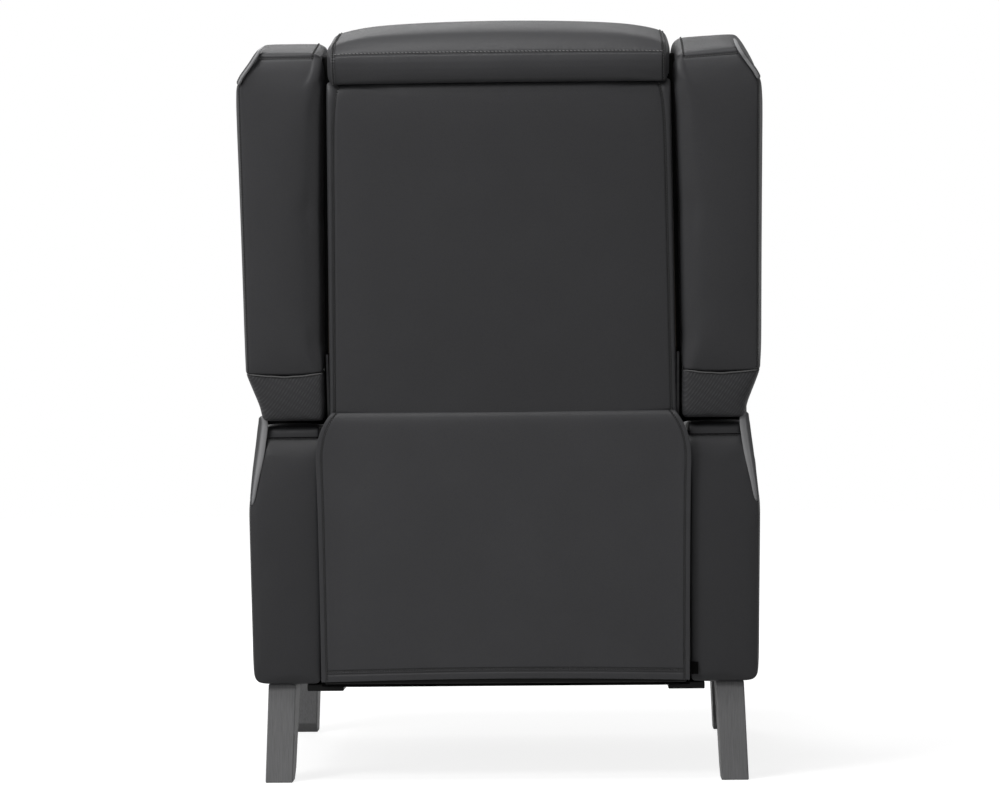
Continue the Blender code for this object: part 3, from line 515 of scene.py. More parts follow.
def relax(mesh, pinned):
    # takes small wrinkles out between the sewn lines
    bm = bmesh.new()
    bm.from_mesh(mesh)
    free = [v for v in bm.verts if v.index not in pinned]
    rounds, strength = upholstery["smooth"]
    for _ in range(rounds):
        bmesh.ops.smooth_vert(bm, verts=free, factor=strength, use_axis_x=True,
                              use_axis_y=True, use_axis_z=True)
    bm.to_mesh(mesh)
    bm.free()


def paint(mesh, name, values):
    layer = mesh.attributes.new(name, "FLOAT", "POINT")
    layer.data.foreach_set("value", values)


def subdivide(piece, levels):
    made = piece.modifiers.new("soft", "SUBSURF")
    made.levels = levels
    made.render_levels = levels


def keep(bm, name, finish):
    bmesh.ops.recalc_face_normals(bm, faces=bm.faces[:])
    mesh = bpy.data.meshes.new(name)
    bm.to_mesh(mesh)
    bm.free()
    mesh.shade_smooth()
    mesh.materials.append(finish)
    piece = bpy.data.objects.new(name, mesh)
    bpy.context.scene.collection.objects.link(piece)
    return piece


def mirrorPiece(piece):
    mesh = piece.data.copy()
    mesh.transform(Matrix.Scale(-1, 4, Vector((1, 0, 0))))
    mesh.flip_normals()
    other = bpy.data.objects.new(piece.name.replace("left", "right"), mesh)
    bpy.context.scene.collection.objects.link(other)
    for modifier in piece.modifiers:
        if modifier.type == "SUBSURF":
            subdivide(other, modifier.levels)
    return other


seamLines = {}               # piece name -> {seam name: its runs of (place, normal)}


def chains(mesh, member):
    # the runs of edges that join these vertices, each in order
    ahead = {v: [] for v in member}
    for edge in mesh.edges:
        a, b = edge.vertices
        if a in ahead and b in ahead:
            ahead[a].append(b)
            ahead[b].append(a)
    unused = set(member)
    runs = []
    while unused:
        ends = sorted(v for v in unused if len([n for n in ahead[v] if n in unused]) < 2)
        here = ends[0] if ends else min(unused)
        run = [here]
        unused.discard(here)
        while True:
            following = sorted(n for n in ahead[here] if n in unused)
            if not following:
                break
            here = following[0]
            unused.discard(here)
            run.append(here)
        if len(run) > 1:
            runs.append(run)
    return runs


def upholster(name, make, finish, bend, place=Matrix()):
    # make says the block's corners, step and radii, its seams as {name: (axis, at, where it
    # runs)}, lines of closer cuts as {axis: places}, what stays still, and the stuffing
    low, high = make["low"], make["high"]
    nearLow, nearHigh = make["nearLow"], make["nearHigh"]
    seams = make.get("seams", {})
    width = make.get("seamWidth", 0.0022)
    cuts = []
    for axis in range(3):
        wanted = {at for along, at, _ in seams.values() if along == axis}
        wanted |= make.get("lines", {}).get(axis, set())
        cuts.append(cutPlaces(low[axis], high[axis], make["step"], nearLow[axis],
                              nearHigh[axis], sorted(wanted), width))
    bm = cutBlock(low, high, cuts)
    bm.verts.index_update()
    sewn = {seamName: [v.index for v in bm.verts if abs(v.co[axis] - at) < touch and runs(v.co)]
            for seamName, (axis, at, runs) in seams.items()}
    isStill = make.get("still", lambda co: False)
    still = [v.index for v in bm.verts if isStill(v.co)]
    roundEdges(bm, low, high, nearLow, nearHigh)
    for vert in bm.verts:
        vert.co = bend(vert.co.copy())
    piece = keep(bm, name, finish)
    line = sorted({i for found in sewn.values() for i in found})
    cap = make.get("cap", 0.01)
    most = make.get("most", ((cap, cap, cap), (cap, cap, cap)))
    stuff(piece, make.get("pressure", 0), *most, line + still)
    mesh = piece.data
    mesh.update()
    marks = [0.0] * len(mesh.vertices)
    for i in line:
        mesh.vertices[i].co -= mesh.vertices[i].normal * make.get("sink", 0.0)
        marks[i] = 1.0
    # the seam marks also darken the leather's colour there, as painted shade
    paint(mesh, "seam", marks)
    paint(mesh, "near", nearness(mesh, line, upholstery["puckers"]))
    mesh.transform(place)
    mesh.update()
    seamLines[name] = {
        seamName: [[(mesh.vertices[i].co.copy(), mesh.vertices[i].normal.copy())
                    for i in run] for run in chains(mesh, found)]
        for seamName, found in sewn.items()
    }
    subdivide(piece, 1)
    "fill" in make
    return piece


def nearness(mesh, line, reach):
    # 1 on the seams, falling to 0 at this reach
    if not line:
        return [0.0] * len(mesh.vertices)
    tree = KDTree(len(line))
    for i in line:
        tree.insert(mesh.vertices[i].co, i)
    tree.balance()
    return [max(0.0, 1 - tree.find(v.co)[2] / reach) ** 2 for v in mesh.vertices]


def settle(piece, body, slotName, *nodes):
    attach(piece, body)
    if nodes:
        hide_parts(*nodes)
    return piece


def pair(left, body, slotName, cadName=None, fill=None, way=None):
    # the piece and its mirror image ride the same body; way moves the image's points
    right = mirrorPiece(left)
    if way:
        for vert in right.data.vertices:
            vert.co = way(vert.co)
        right.data.update()
    for piece, side in ((left, "_left"), (right, "_right")):
        settle(piece, body, slotName, *([cadName + side] if cadName else []))
    return right


def dress(name, make, bend, body, cadName, place=Matrix()):
    settle(upholster(name, make, leather, bend, place), body, "leather", cadName)


def bothSides(name, at, runs):
    # a pair of seams, as far left as right
    return {name + "Left": (0, at, runs), name + "Right": (0, -at, runs)}


def clamped(value):
    return min(1, max(0, value))


def lerp(low, high, share):
    return low + (high - low) * share


def tuck(distance, depth, below, above=None):
    # how deep the cover lies at this distance under a seam, or above it if negative
    reach = below if distance > 0 else (above or below)
    return depth * math.exp(-abs(distance) / reach)


# The back's own measures: y towards the rear, z up the back, from its pivot
back = {"pivot": (0, 0.18, 0.3), "tilt": 14}
backPlace = Matrix.Translation(back["pivot"]) @ Matrix.Rotation(
    math.radians(-back["tilt"]), 4, "X")

# Wings
wing = {
    "bottom": 0.2108, "seam": 0.2748, "top": 0.704,
    "insideLow": 0.2405, "insideHigh": 0.2295,
    "outsideLow": 0.3465, "outsideHigh": 0.3455,
    "frontLow": 0.122, "frontHigh": 0.073, "rear": 0.059, "rearward": (0.6, 0.4),
    "topSeam": 0.006, "cornerSeam": 0.0155, "edgeSeam": 0.004, "closer": 0.028,
    "tuck": (0.0155, 0.0145, 0.06),
    "dip": 0.003, "dipRise": 0.03,
    "cantRise": 0.044, "cantRun": 0.026, "cantShares": (0.55, 0.45),
    "padTaper": (0.2, 0.8), "padNarrow": 0.02, "padBelow": 0.0035, "padGap": 0.0004,
}
wingWide, wingDeep = 0.105, 0.185


def wingBend(co):
    rise = co.z
    share = (rise - wing["bottom"]) / (wing["top"] - wing["bottom"])
    inside = lerp(wing["insideLow"], wing["insideHigh"], share)
    outside = lerp(wing["outsideLow"], wing["outsideHigh"], share)
    over = clamped(1 - (wing["top"] - rise) / wing["cantRise"])
    straight, eased = wing["cantShares"]
    outside -= wing["cantRun"] * (straight * over + eased * over * over * (3 - 2 * over))
    front = lerp(wing["frontLow"], wing["frontHigh"], share)
    across = co.x / wingWide
    y = -front + (wing["rear"] + front) * co.y / wingDeep
    start, run = wing["rearward"]
    rearward = max(0, co.y / wingDeep - start) / run
    y -= tuck(wing["top"] - wing["topSeam"] - rise, *wing["tuck"]) * rearward
    foot = max(0, 1 - (rise - wing["seam"]) / wing["dipRise"])
    z = rise - wing["dip"] * foot * (1 - (2 * across - 1) ** 2)
    return Vector((lerp(inside, outside, across), y, z))


uneven = {
    "from": 0.66, "run": 0.044, "most": 1.2, "inside": 0.23, "wide": 0.09,
    "rearFrom": -0.02, "rearRun": 0.07,
    # how far the top's crest and its rear seam rise, and how much more on the outer side
    "crest": (0.002, 0.005), "rear": (-0.0085, 0.0085),
}


def unevenWing(at):
    # the sitter's right wing: its top stands higher and its rear seam rises outwards
    co = backPlace.inverted() @ at
    share = min(uneven["most"], max(0, (co.z - uneven["from"]) / uneven["run"]))
    across = clamped((abs(co.x) - uneven["inside"]) / uneven["wide"])
    rearward = clamped((co.y - uneven["rearFrom"]) / uneven["rearRun"])
    crest, rear = (low + more * across for low, more in (uneven["crest"], uneven["rear"]))
    co.z += share**1.5 * (crest * (1 - rearward) + rear * rearward)
    return backPlace @ co


def buildWings():
    top = wing["top"] - wing["topSeam"]
    edge = wingWide - wing["edgeSeam"]
    make = {
        "low": (0, 0, wing["seam"]), "high": (wingWide, wingDeep, wing["top"]),
        "nearLow": (0.017, 0.03, 0.002), "nearHigh": (0.0065, 0.012, 0.0115),
        "lines": {2: {top - wing["closer"]}},
        "step": 0.0125, "pressure": 3.5, "sink": 0.0007, "fill": 0.8,
        "most": ((0.003, 0.008, 0.01), (0.0065, 0.011, 0.006)),
        "seams": {
            "top": (2, top, lambda co: co.y > wingDeep - touch
                    and co.x > wing["cornerSeam"] - touch),
            "corner": (0, wing["cornerSeam"], lambda co: co.z > top - touch
                       and (co.y > wingDeep - touch or co.z > wing["top"] - touch)),
            "edge": (0, edge, lambda co: co.y > wingDeep - touch),
            "frontEdge": (0, edge, lambda co: co.y < touch),
        },
        "still": lambda co: co.z < wing["seam"] + touch,
    }
    left = upholster("wing_cover_left", make, leather, wingBend, backPlace)
    pair(left, "back", "leather", "wing", make["fill"], unevenWing)
    flip = Vector((-1, 1, 1))
    seamLines["wing_cover_right"] = {
        name: [[(unevenWing(at * flip), up * flip) for at, up in run] for run in runs]
        for name, runs in seamLines["wing_cover_left"].items()
    }


def padBend(co):
    # the lower pad tapers on its outer side and follows the wing's dipping seam
    share = (co.z - wing["bottom"]) / (wing["seam"] - wing["bottom"])
    start, run = wing["padTaper"]
    lift = clamped((share - start) / run)
    inside = wing["insideLow"]
    outside = wing["outsideLow"] - wing["padNarrow"] * (1 - lift)
    front = wing["frontLow"]
    across = co.x / wingWide
    y = -front + (wing["rear"] + front) * co.y / wingDeep
    z = co.z - wing["dip"] * max(0, share) ** 2 * (1 - (2 * across - 1) ** 2)
    return Vector((lerp(inside, outside, across), y, z))


def buildWingPads():
    make = {
        "low": (0, 0, wing["bottom"] - wing["padBelow"]),
        "high": (wingWide, wingDeep, wing["seam"] - wing["padGap"]),
        "nearLow": (0.008, 0.03, 0.008), "nearHigh": (0.012, 0.012, 0.0012),
        "step": 0.01, "pressure": 2.5, "fill": 0.8,
        "most": ((0.003, 0.004, 0.001), (0.004, 0.006, 0.001)),
        "still": lambda co: co.z > wing["seam"] - 0.001,
    }
    left = upholster("wing_foot_left", make, patterned, padBend, backPlace)
    pair(left, "back", "patterned", "wing_pad", make["fill"])


# Head roll
roll = {
    "half": 0.2252, "bottom": 0.669, "band": 0.7035, "crest": 0.7292, "end": 0.0085,
    "front": 0.095, "rear": 0.0655, "fall": (0.008, 0.0125), "bandTuck": (0.0055, 0.007, 0.06),
    "lip": 0.009, "lipOut": 0.0022, "lipFrom": 0.05, "lipRun": 0.012, "lipShare": 0.5,
    "under": 0.0135, "underRun": 0.012, "round": (0.038, 0.0265), "slant": 0.011,
    "closer": {0.6785, 0.686},
}


def rollBend(co):
    share = co.x / roll["half"]
    high = (co.z - roll["bottom"]) / (roll["crest"] - roll["bottom"])
    wideFall, endFall = roll["fall"]
    z = co.z - (wideFall * share**2 + endFall * share**12) * high**4
    # the band hangs a little over the top of the rear panel
    rearward = clamped((co.y - roll["lipFrom"]) / roll["lipRun"])
    low = max(0, 1 - high / roll["lipShare"])
    z -= roll["lip"] * rearward * low
    y = co.y + roll["lipOut"] * rearward * low
    y -= tuck(roll["band"] - co.z, *roll["bandTuck"]) * rearward
    over = z - roll["bottom"] + roll["lip"]
    y -= roll["under"] * math.exp(-over / roll["underRun"]) * rearward
    # over the band the leather runs up in a slant
    deep, rise = roll["round"]
    up = (co.z - roll["crest"] + rise) / rise
    out = (co.y - roll["rear"] + deep) / deep
    if up > 0 and out > 0:
        y -= roll["slant"] * 2 * min(up, 1) * min(out, 1)
    return Vector((co.x, y, z))


def buildHeadRoll():
    rear, half = roll["rear"], roll["half"]
    onRear = lambda co: co.y > rear - touch
    end = half - roll["end"]
    make = {
        "low": (-half, -roll["front"], roll["bottom"]), "high": (half, rear, roll["crest"]),
        "nearLow": (0.012, 0.028, 0.0025), "nearHigh": (0.009, *roll["round"]),
        "lines": {2: roll["closer"]},
        "step": 0.0125, "pressure": 6.0, "sink": 0.0012, "fill": 0.8,
        "most": ((0.004, 0.008, 0.002), (0.004, 0.011, 0.01)),
        "seams": {
            "band": (2, roll["band"], lambda co: onRear(co) and abs(co.x) < end + touch),
            **bothSides("end", end, lambda co: onRear(co) or co.z > roll["crest"] - touch),
        },
        "still": lambda co: co.z < roll["bottom"] + touch,
    }
    dress("head_roll_cover", make, rollBend, "back", "head_roll", backPlace)


# Rear panel of the back
panel = {
    "low": 0.1, "high": 0.6675, "rear": 0.0595, "front": 0.0455,
    "halfLow": 0.236, "halfHigh": 0.226, "seamIn": 0.0068, "crown": 0.002,
    "underRoll": 0.666, "rollTuck": (0.013, 0.0115, 0.05), "sideTuck": (0.002, 0.008),
    "lean": (0.0085, 0.022), "leanRise": 0.0026, "leanReach": 0.05, "closer": 0.012,
}


def panelBend(co):
    share = (co.z - panel["low"]) / (panel["high"] - panel["low"])
    half = lerp(panel["halfLow"], panel["halfHigh"], share)
    across = co.x / panel["halfLow"]
    seamAt = panel["halfLow"] - panel["seamIn"]
    # near the roll the sewn line runs inwards
    most, run = panel["lean"]
    lean = most * math.exp(-abs(panel["underRoll"] - co.z) / run) + panel["leanRise"] * share
    lean *= max(0.0, 1 - abs(abs(co.x) - seamAt) / panel["leanReach"])
    if abs(co.x) > seamAt:
        lean *= (panel["halfLow"] - abs(co.x)) / panel["seamIn"]
    x = half * across - math.copysign(lean, co.x)
    rearward = clamped((co.y - panel["front"]) / (panel["rear"] - panel["front"]))
    dome = panel["crown"] * (1 - across * across)
    dome -= tuck(panel["underRoll"] - co.z, *panel["rollTuck"])
    depth, run = panel["sideTuck"]
    dome -= tuck(abs(abs(across) - 1 + panel["seamIn"] / half), depth, run / half)
    return Vector((x, co.y + dome * rearward, co.z))


def buildBackPanel():
    wide, underRoll = panel["halfLow"], panel["underRoll"]
    make = {
        "low": (-wide, panel["front"], panel["low"]),
        "high": (wide, panel["rear"], panel["high"]),
        "nearLow": (0.0055, 0.003, 0.004), "nearHigh": (0.0055, 0.007, 0.005),
        "lines": {2: {underRoll - panel["closer"], underRoll}},
        "step": 0.014, "pressure": 1.5, "sink": 0.0011, "fill": 0.5,
        "most": ((0.001, 0.001, 0.001), (0.001, 0.003, 0.001)),
        "seams": bothSides("side", wide - panel["seamIn"],
                           lambda co: co.y > panel["rear"] - touch),
        "still": lambda co: co.y < panel["front"] + touch,
    }
    dress("back_panel_cover", make, panelBend, "back", "back_panel", backPlace)


# Arms: body, top pad and front panel
arm = {
    "inside": 0.2483, "wide": 0.0962, "rear": 0.2878, "front": -0.3925, "panelFront": -0.404,
    "bottom": 0.1345, "seam": 0.466, "padTop": 0.4838,
    "cantRear": 0.0225, "cantFront": 0.007, "cantRun": 0.13, "cantShares": (0.4, 0.6),
    "widest": 0.375, "widestFront": 0.43, "widestRound": 0.02, "footDraw": 0.0045,
    "tuck": (0.0135, 0.0155, 0.2), "tuckRun": 0.04,
    "edgeSeam": 0.0045, "frontSeam": 0.012, "closer": (0.008, 0.024),
    "threadDown": 0.0022, "threadAcross": (0.004, 0.066), "padGap": 0.0003, "frontGap": 0.0006,
}


def armOutside(y, z):
    run = clamped((arm["rear"] - y) / arm["cantRun"])
    ease = run * (2 - run)
    cant = lerp(arm["cantRear"], arm["cantFront"], ease)
    widest = lerp(arm["widest"], arm["widestFront"], ease)
    out = arm["inside"] + arm["wide"]
    if z > widest:
        drawn = cant * (z - widest) / (arm["seam"] - widest)
        start, more = arm["cantShares"]
        return out - drawn * (start + more * min(1, (z - widest) / arm["widestRound"]))
    return out - arm["footDraw"] * (widest - z) / (widest - arm["bottom"])


def armBend(co):
    out = armOutside(co.y, min(co.z, arm["seam"]))
    rearward = max(0, 1 - (arm["rear"] - co.y) / arm["tuckRun"])
    y = co.y - tuck(arm["seam"] - co.z, *arm["tuck"]) * rearward
    return Vector((arm["inside"] + (out - arm["inside"]) * co.x / arm["wide"], y, co.z))


# Black stretch cloth closes the slits between back and wings, and under the wings: dark sheets of
# painted shade, standing for the shade inside these gaps
shadeSheets = {
    "thick": 0.0016,
    "slit": {"low": 0.022, "high": 0.7, "depth": 0.0405, "sag": 0.004, "lap": 0.002,
             "insideLow": 0.2325, "insideHigh": 0.2235},
    "roll": {"half": 0.229, "depth": 0.03, "low": 0.655, "high": 0.684, "sag": 0.003},
    "rear": {"half": 0.2482, "depth": 0.2868, "low": 0.131, "high": 0.17, "sag": 0.002},
    "arm": {"inside": 0.2385, "depth": 0.2815, "high": 0.452, "sag": 0.001},
    "gusset": {"foot": 0.4858, "under": 0.006, "depth": -0.066, "lap": 0.008, "outside": 0.335,
               "sag": 0.004, "droop": 0.007, "folded": 0.12},
}


def hangCloth(name, corners, belly, droop=0.0):
    # a strip between four corners, bellied to the rear, or forwards if negative
    bm = bmesh.new()
    bmesh.ops.create_grid(bm, x_segments=6, y_segments=30, size=0.5)
    low, right, high, left = (Vector(corner) for corner in corners)
    for vert in bm.verts:
        across, along = vert.co.x + 0.5, vert.co.y + 0.5
        foot, head = low.lerp(right, across), left.lerp(high, across)
        vert.co = foot.lerp(head, along)
        vert.co += Vector((0, belly, 0)) * (4 * across * (1 - across))
        # the lower corners hang past the rounded edges of what is below
        vert.co.z -= droop * abs(2 * across - 1) ** 5 * (1 - along) ** 2
    bmesh.ops.solidify(bm, geom=bm.faces[:], thickness=shadeSheets["thick"])
    cloth = keep(bm, name, webbingAndShadeCloth)
    subdivide(cloth, 1)
    return cloth


def onBack(*places):
    return [backPlace @ Vector(place) for place in places]


def buildShadeSheets():
    slit, under, rear = shadeSheets["slit"], shadeSheets["roll"], shadeSheets["rear"]
    low, high, deep, lap = wing["bottom"] - slit["low"], slit["high"], slit["depth"], slit["lap"]
    corners = onBack((slit["insideLow"], deep, low), (wing["insideLow"] + lap, deep, low),
                     (wing["insideHigh"] + lap, deep, high), (slit["insideHigh"], deep, high))
    pair(hangCloth("slit_cloth_left", corners, -slit["sag"]), "back", "cloth")
    half, deep, low, high = under["half"], under["depth"], under["low"], under["high"]
    corners = onBack((-half, deep, low), (-half, deep, high), (half, deep, high),
                     (half, deep, low))
    settle(hangCloth("roll_shade_cloth", corners, under["sag"]), "back", "cloth")
    # behind the foot of the flap, from arm to arm
    half, deep, low, high = rear["half"], rear["depth"], rear["low"], rear["high"]
    corners = [(-half, deep, low), (half, deep, low), (half, deep, high), (-half, deep, high)]
    settle(hangCloth("rear_shade_sheet", corners, -rear["sag"]), "base", "cloth")
    # inside the rear end of each arm
    inner, innerDeep, high = (shadeSheets["arm"][key] for key in ("inside", "depth", "high"))
    corners = [(inner, innerDeep, low), (half, deep, low), (half, deep, high),
               (inner, innerDeep, high)]
    pair(hangCloth("arm_lining_left", corners, -shadeSheets["arm"]["sag"]), "base", "cloth")
    # under the wing, in front of the hinge line, where reclining lifts it off the arm: a dark
    # sheet of painted shade
    look = shadeSheets["gusset"]
    top, foot, deep = wing["bottom"] + look["under"], look["foot"], look["depth"]
    inner, outer = onBack((wing["insideLow"] - look["lap"], deep, top),
                          (look["outside"], deep, top))
    corners = [(inner.x, inner.y, foot), (outer.x, outer.y, foot), outer, inner]
    left = hangCloth("gusset_left", corners, -look["sag"], look["droop"])
    for gusset in (left, pair(left, "back", "cloth")):
        tuple(inner)
        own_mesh(gusset)


def buildArms():
    nearSeam, below = arm["closer"]
    outside = lambda co: co.x > arm["wide"] - touch
    body = {
        "low": (0, arm["front"], arm["bottom"]), "high": (arm["wide"], arm["rear"], arm["seam"]),
        "nearLow": (0.006, 0.004, 0.014), "nearHigh": (0.014, 0.003, 0.0012),
        "lines": {2: {arm["seam"] - nearSeam, arm["seam"] - below}},
        "step": 0.016, "pressure": 2.5, "sink": 0.0012, "fill": 0.7,
        "most": ((0.001, 0.004, 0.002), (0.0045, 0.007, 0.001)),
        "seams": {
            "edge": (1, arm["rear"] - arm["edgeSeam"], outside),
            "frontEdge": (1, arm["front"] + arm["frontSeam"], outside),
        },
        "still": lambda co: co.z > arm["seam"] - touch or co.y < arm["front"] + touch
        or co.x < touch,
    }
    pad = {
        "low": (0, arm["panelFront"], arm["seam"] + arm["padGap"]),
        "high": (arm["wide"], arm["rear"], arm["padTop"]),
        "nearLow": (0.004, 0.016, 0.0008), "nearHigh": (0.006, 0.016, 0.016),
        "step": 0.013, "pressure": 2.0, "fill": 0.8,
        "most": ((0.001, 0.003, 0.001), (0.003, 0.001, 0.002)),
        "still": lambda co: co.z < arm["seam"] + 0.001,
    }
    front = {
        "low": (0, arm["panelFront"], arm["bottom"]),
        "high": (arm["wide"], arm["front"] - arm["frontGap"], arm["seam"]),
        "nearLow": (0.007, 0.007, 0.018), "nearHigh": (0.018, 0.003, 0.004),
        "step": 0.013, "pressure": 2.0, "cap": 0.003, "fill": 0.7,
        "still": lambda co: co.y > arm["front"] - 0.001,
    }
    for part, make, cadName in (("arm_cover", body, "arm"), ("arm_top", pad, "arm_pad"),
                                ("arm_face", front, "arm_front")):
        left = upholster(part + "_left", make, shadedArmLeather, armBend)
        pair(left, "base", "leather", cadName, make["fill"])
    high, deep = arm["seam"] - arm["threadDown"], arm["rear"] - arm["tuck"][0]
    for side, sideways in (("left", 1), ("right", -1)):
        run = [(Vector(((arm["inside"] + across) * sideways, deep, high)), Vector((0, 1, 0)))
               for across in arm["threadAcross"]]
        seamLines.setdefault("arm_cover_" + side, {})["inner"] = [run]


# Seat and back cushions
seat = {
    "front": -0.415, "height": 0.334, "slope": 5, "length": 0.53, "half": 0.2435,
    "thick": 0.121, "crown": 0.008, "waist": 0.004,
}
seatPlace = Matrix.Translation((0, seat["front"], seat["height"])) @ Matrix.Rotation(
    math.radians(-seat["slope"]), 4, "X")


def seatBend(co):
    across = co.x / seat["half"]
    along = 2 * co.y / seat["length"] - 1
    top = max(0, co.z / seat["thick"])
    dome = seat["crown"] * top * (1 - across**2) * (1 - along**4)
    waist = seat["waist"] * (1 - along**2) * abs(across) ** 3
    return Vector((co.x - math.copysign(waist, co.x), co.y, co.z + dome))


def buildSeat():
    half, length, thick = seat["half"], seat["length"], seat["thick"]
    third = half * 2 / 3 / 2
    make = {
        "low": (-half, 0.002, 0.0006), "high": (half, length - 0.002, thick),
        "nearLow": (0.014, 0.04, 0.008), "nearHigh": (0.014, 0.02, 0.024),
        "step": 0.016, "pressure": 4.0, "cap": 0.011, "sink": 0.004, "fill": 0.75,
        "seams": bothSides("channel", third, lambda co: co.z > thick - touch or co.y < touch),
        "still": lambda co: co.z < 0.001,
    }
    dress("seat_cover", make, seatBend, "base", "seat_cushion", seatPlace)


cushions = {
    "rear": 0.0062, "depth": 0.076, "widest": 0.2405, "inset": 0.006, "lumbarHalf": 0.2315,
    "lumbar": {"low": 0.101, "high": 0.3435, "crown": 0.01, "sewn": True},
    "shoulder": {"low": 0.3465, "high": 0.5435, "crown": 0.004, "sewn": True},
    "head": {"low": 0.5465, "high": 0.667, "crown": 0.005, "sewn": False},
}


def cushionHalf(rise):
    share = (rise - wing["bottom"]) / (wing["top"] - wing["bottom"])
    inside = lerp(wing["insideLow"], wing["insideHigh"], max(0, share))
    return min(inside, cushions["widest"]) - cushions["inset"]


def buildBackCushions():
    face = cushions["rear"] - cushions["depth"]
    for name in ("lumbar", "shoulder", "head"):
        one = cushions[name]
        halfLow, halfHigh = cushionHalf(one["low"]), cushionHalf(one["high"])
        if name == "lumbar":
            halfLow = halfHigh = cushions["lumbarHalf"]

        def bend(co, one=one, halfLow=halfLow, halfHigh=halfHigh):
            share = (co.z - one["low"]) / (one["high"] - one["low"])
            across = co.x / halfLow
            along = 2 * share - 1
            out = (cushions["rear"] - co.y) / cushions["depth"]
            dome = one["crown"] * out * (1 - across**2) * (1 - along**4)
            return Vector((across * lerp(halfLow, halfHigh, share), co.y - dome, co.z))

        onFace = lambda co: co.y < face + touch
        make = {
            "low": (-halfLow, face, one["low"]), "high": (halfLow, cushions["rear"], one["high"]),
            "nearLow": (0.02, 0.026, 0.022), "nearHigh": (0.02, 0.006, 0.022),
            "step": 0.014, "pressure": 4.0, "cap": 0.011, "sink": 0.003, "fill": 0.75,
            "seams": bothSides("channel", halfLow / 3, onFace) if one["sewn"] else {},
            "still": lambda co: co.y > cushions["rear"] - touch,
        }
        dress(name + "_cover", make, bend, "back", name + "_cushion", backPlace)


def buildFootrestPad():
    low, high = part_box("footrest_pad")
    make = {
        "low": (low.x + 0.002, low.y + 0.006, low.z + 0.001),
        "high": (high.x - 0.002, high.y - 0.0004, high.z - 0.001),
        "nearLow": (0.014, 0.016, 0.016), "nearHigh": (0.014, 0.004, 0.016),
        "step": 0.014, "pressure": 3.0, "cap": 0.007, "sink": 0.003, "fill": 0.75,
        "still": lambda co: co.y > high.y - 0.001,
    }
    third = (make["high"][0] - make["low"][0]) / 6
    make["seams"] = bothSides("channel", third, lambda co: co.y < make["low"][1] + touch)
    dress("footrest_cover", make, lambda co: co, "footrest", "footrest_pad")


# Flap behind the seat: a hemmed leather sheet sewn to the back's lower edge
flap = {
    "top": 0.4998, "bottom": 0.1378, "wide": 0.2524, "wideAt": 0.43, "topHalf": 0.2307,
    "bottomHalf": 0.2472, "topCurve": 2.6, "lowCurve": 0.6, "thick": 0.0022, "front": 0.2921,
    "stand": 0.0072, "reach": 0.0068, "arch": 0.0035, "archRise": 0.2, "hangs": 0.08,
    "wave": 0.0016, "waves": (5.5, 3.1, 4.0), "pull": 0.0014, "pullAt": (0.9, 0.12),
    "band": 0.0075, "hem": 0.014, "hemSecond": 0.0095, "closer": (0.005, 0.012, 0.021),
    "cut": 0.177,            # square metres
    "still": 0.17, "moves": 0.485,
}


def flapHalf(z):
    end, curve, half = flap["top"], flap["topCurve"], flap["topHalf"]
    if z <= flap["wideAt"]:
        end, curve, half = flap["bottom"], flap["lowCurve"], flap["bottomHalf"]
    share = (z - flap["wideAt"]) / (end - flap["wideAt"])
    return flap["wide"] - (flap["wide"] - half) * share**curve


def flapBend(co):
    across = co.x / flap["wide"]
    down = flap["top"] - co.z
    low = max(0, 1 - (co.z - flap["bottom"]) / flap["archRise"])
    arch = flap["arch"] * (1 - across**2) * low
    stand = flap["stand"] - tuck(down, flap["stand"], flap["reach"])
    hang = min(1, down / flap["hangs"])
    wide, row, high = flap["waves"]
    wave = noise.noise(Vector((co.x * wide, row, co.z * high))) * flap["wave"] * hang
    at, run = flap["pullAt"]
    pull = flap["pull"] * math.exp(-((abs(across) - at) / run) ** 2) * hang
    return Vector((across * flapHalf(co.z), co.y + stand + wave - pull, co.z + arch))


def buildFlap():
    wide, bottom, top = flap["wide"], flap["bottom"], flap["top"]
    inner, rear = wide - flap["band"], flap["front"] + flap["thick"]
    onRear = lambda co: co.y > rear - touch
    inBand = lambda co: onRear(co) and abs(co.x) < inner + touch
    make = {
        "low": (-wide, flap["front"], bottom), "high": (wide, rear, top),
        "nearLow": (0.0009, 0.0009, 0.0009), "nearHigh": (0.0009, 0.0009, 0.0009),
        "lines": {2: {top - down for down in flap["closer"]}},
        "step": 0.012, "seamWidth": 0.0018, "sink": 0.0006,
        "seams": {
            **bothSides("band", inner, onRear),
            "hem": (2, bottom + flap["hem"], inBand),
            "hemSecond": (2, bottom + flap["hemSecond"], inBand),
        },
    }
    cover = upholster("flap_cover", make, flapLeather, flapBend)
    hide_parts("rear_flap")
    hangFlap(cover)


def hangFlap(piece):
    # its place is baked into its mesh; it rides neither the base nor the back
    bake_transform(piece)


# A loop of webbing that shows beyond the flap's corner on the sitter's right
tab = {"from": 0.2475, "reach": 0.0115, "open": 0.0022, "wide": 0.0165, "at": 0.1535,
       "rear": 0.2935, "thick": 0.0009}


def buildTab():
    bm = bmesh.new()
    bmesh.ops.create_grid(bm, x_segments=14, y_segments=4, size=0.5)
    for vert in bm.verts:
        turn = (vert.co.x + 0.5) * math.pi
        out = tab["reach"] * math.sin(turn) ** 0.8
        deep = tab["rear"] - tab["open"] / 2 + tab["open"] * math.cos(turn)
        vert.co = Vector((-tab["from"] - out, deep, tab["at"] + tab["wide"] * vert.co.y))
    bmesh.ops.solidify(bm, geom=bm.faces[:], thickness=tab["thick"])
    loop = keep(bm, "flap_tab", webbingAndShadeCloth)
    subdivide(loop, 1)
    settle(loop, "base", "cloth")


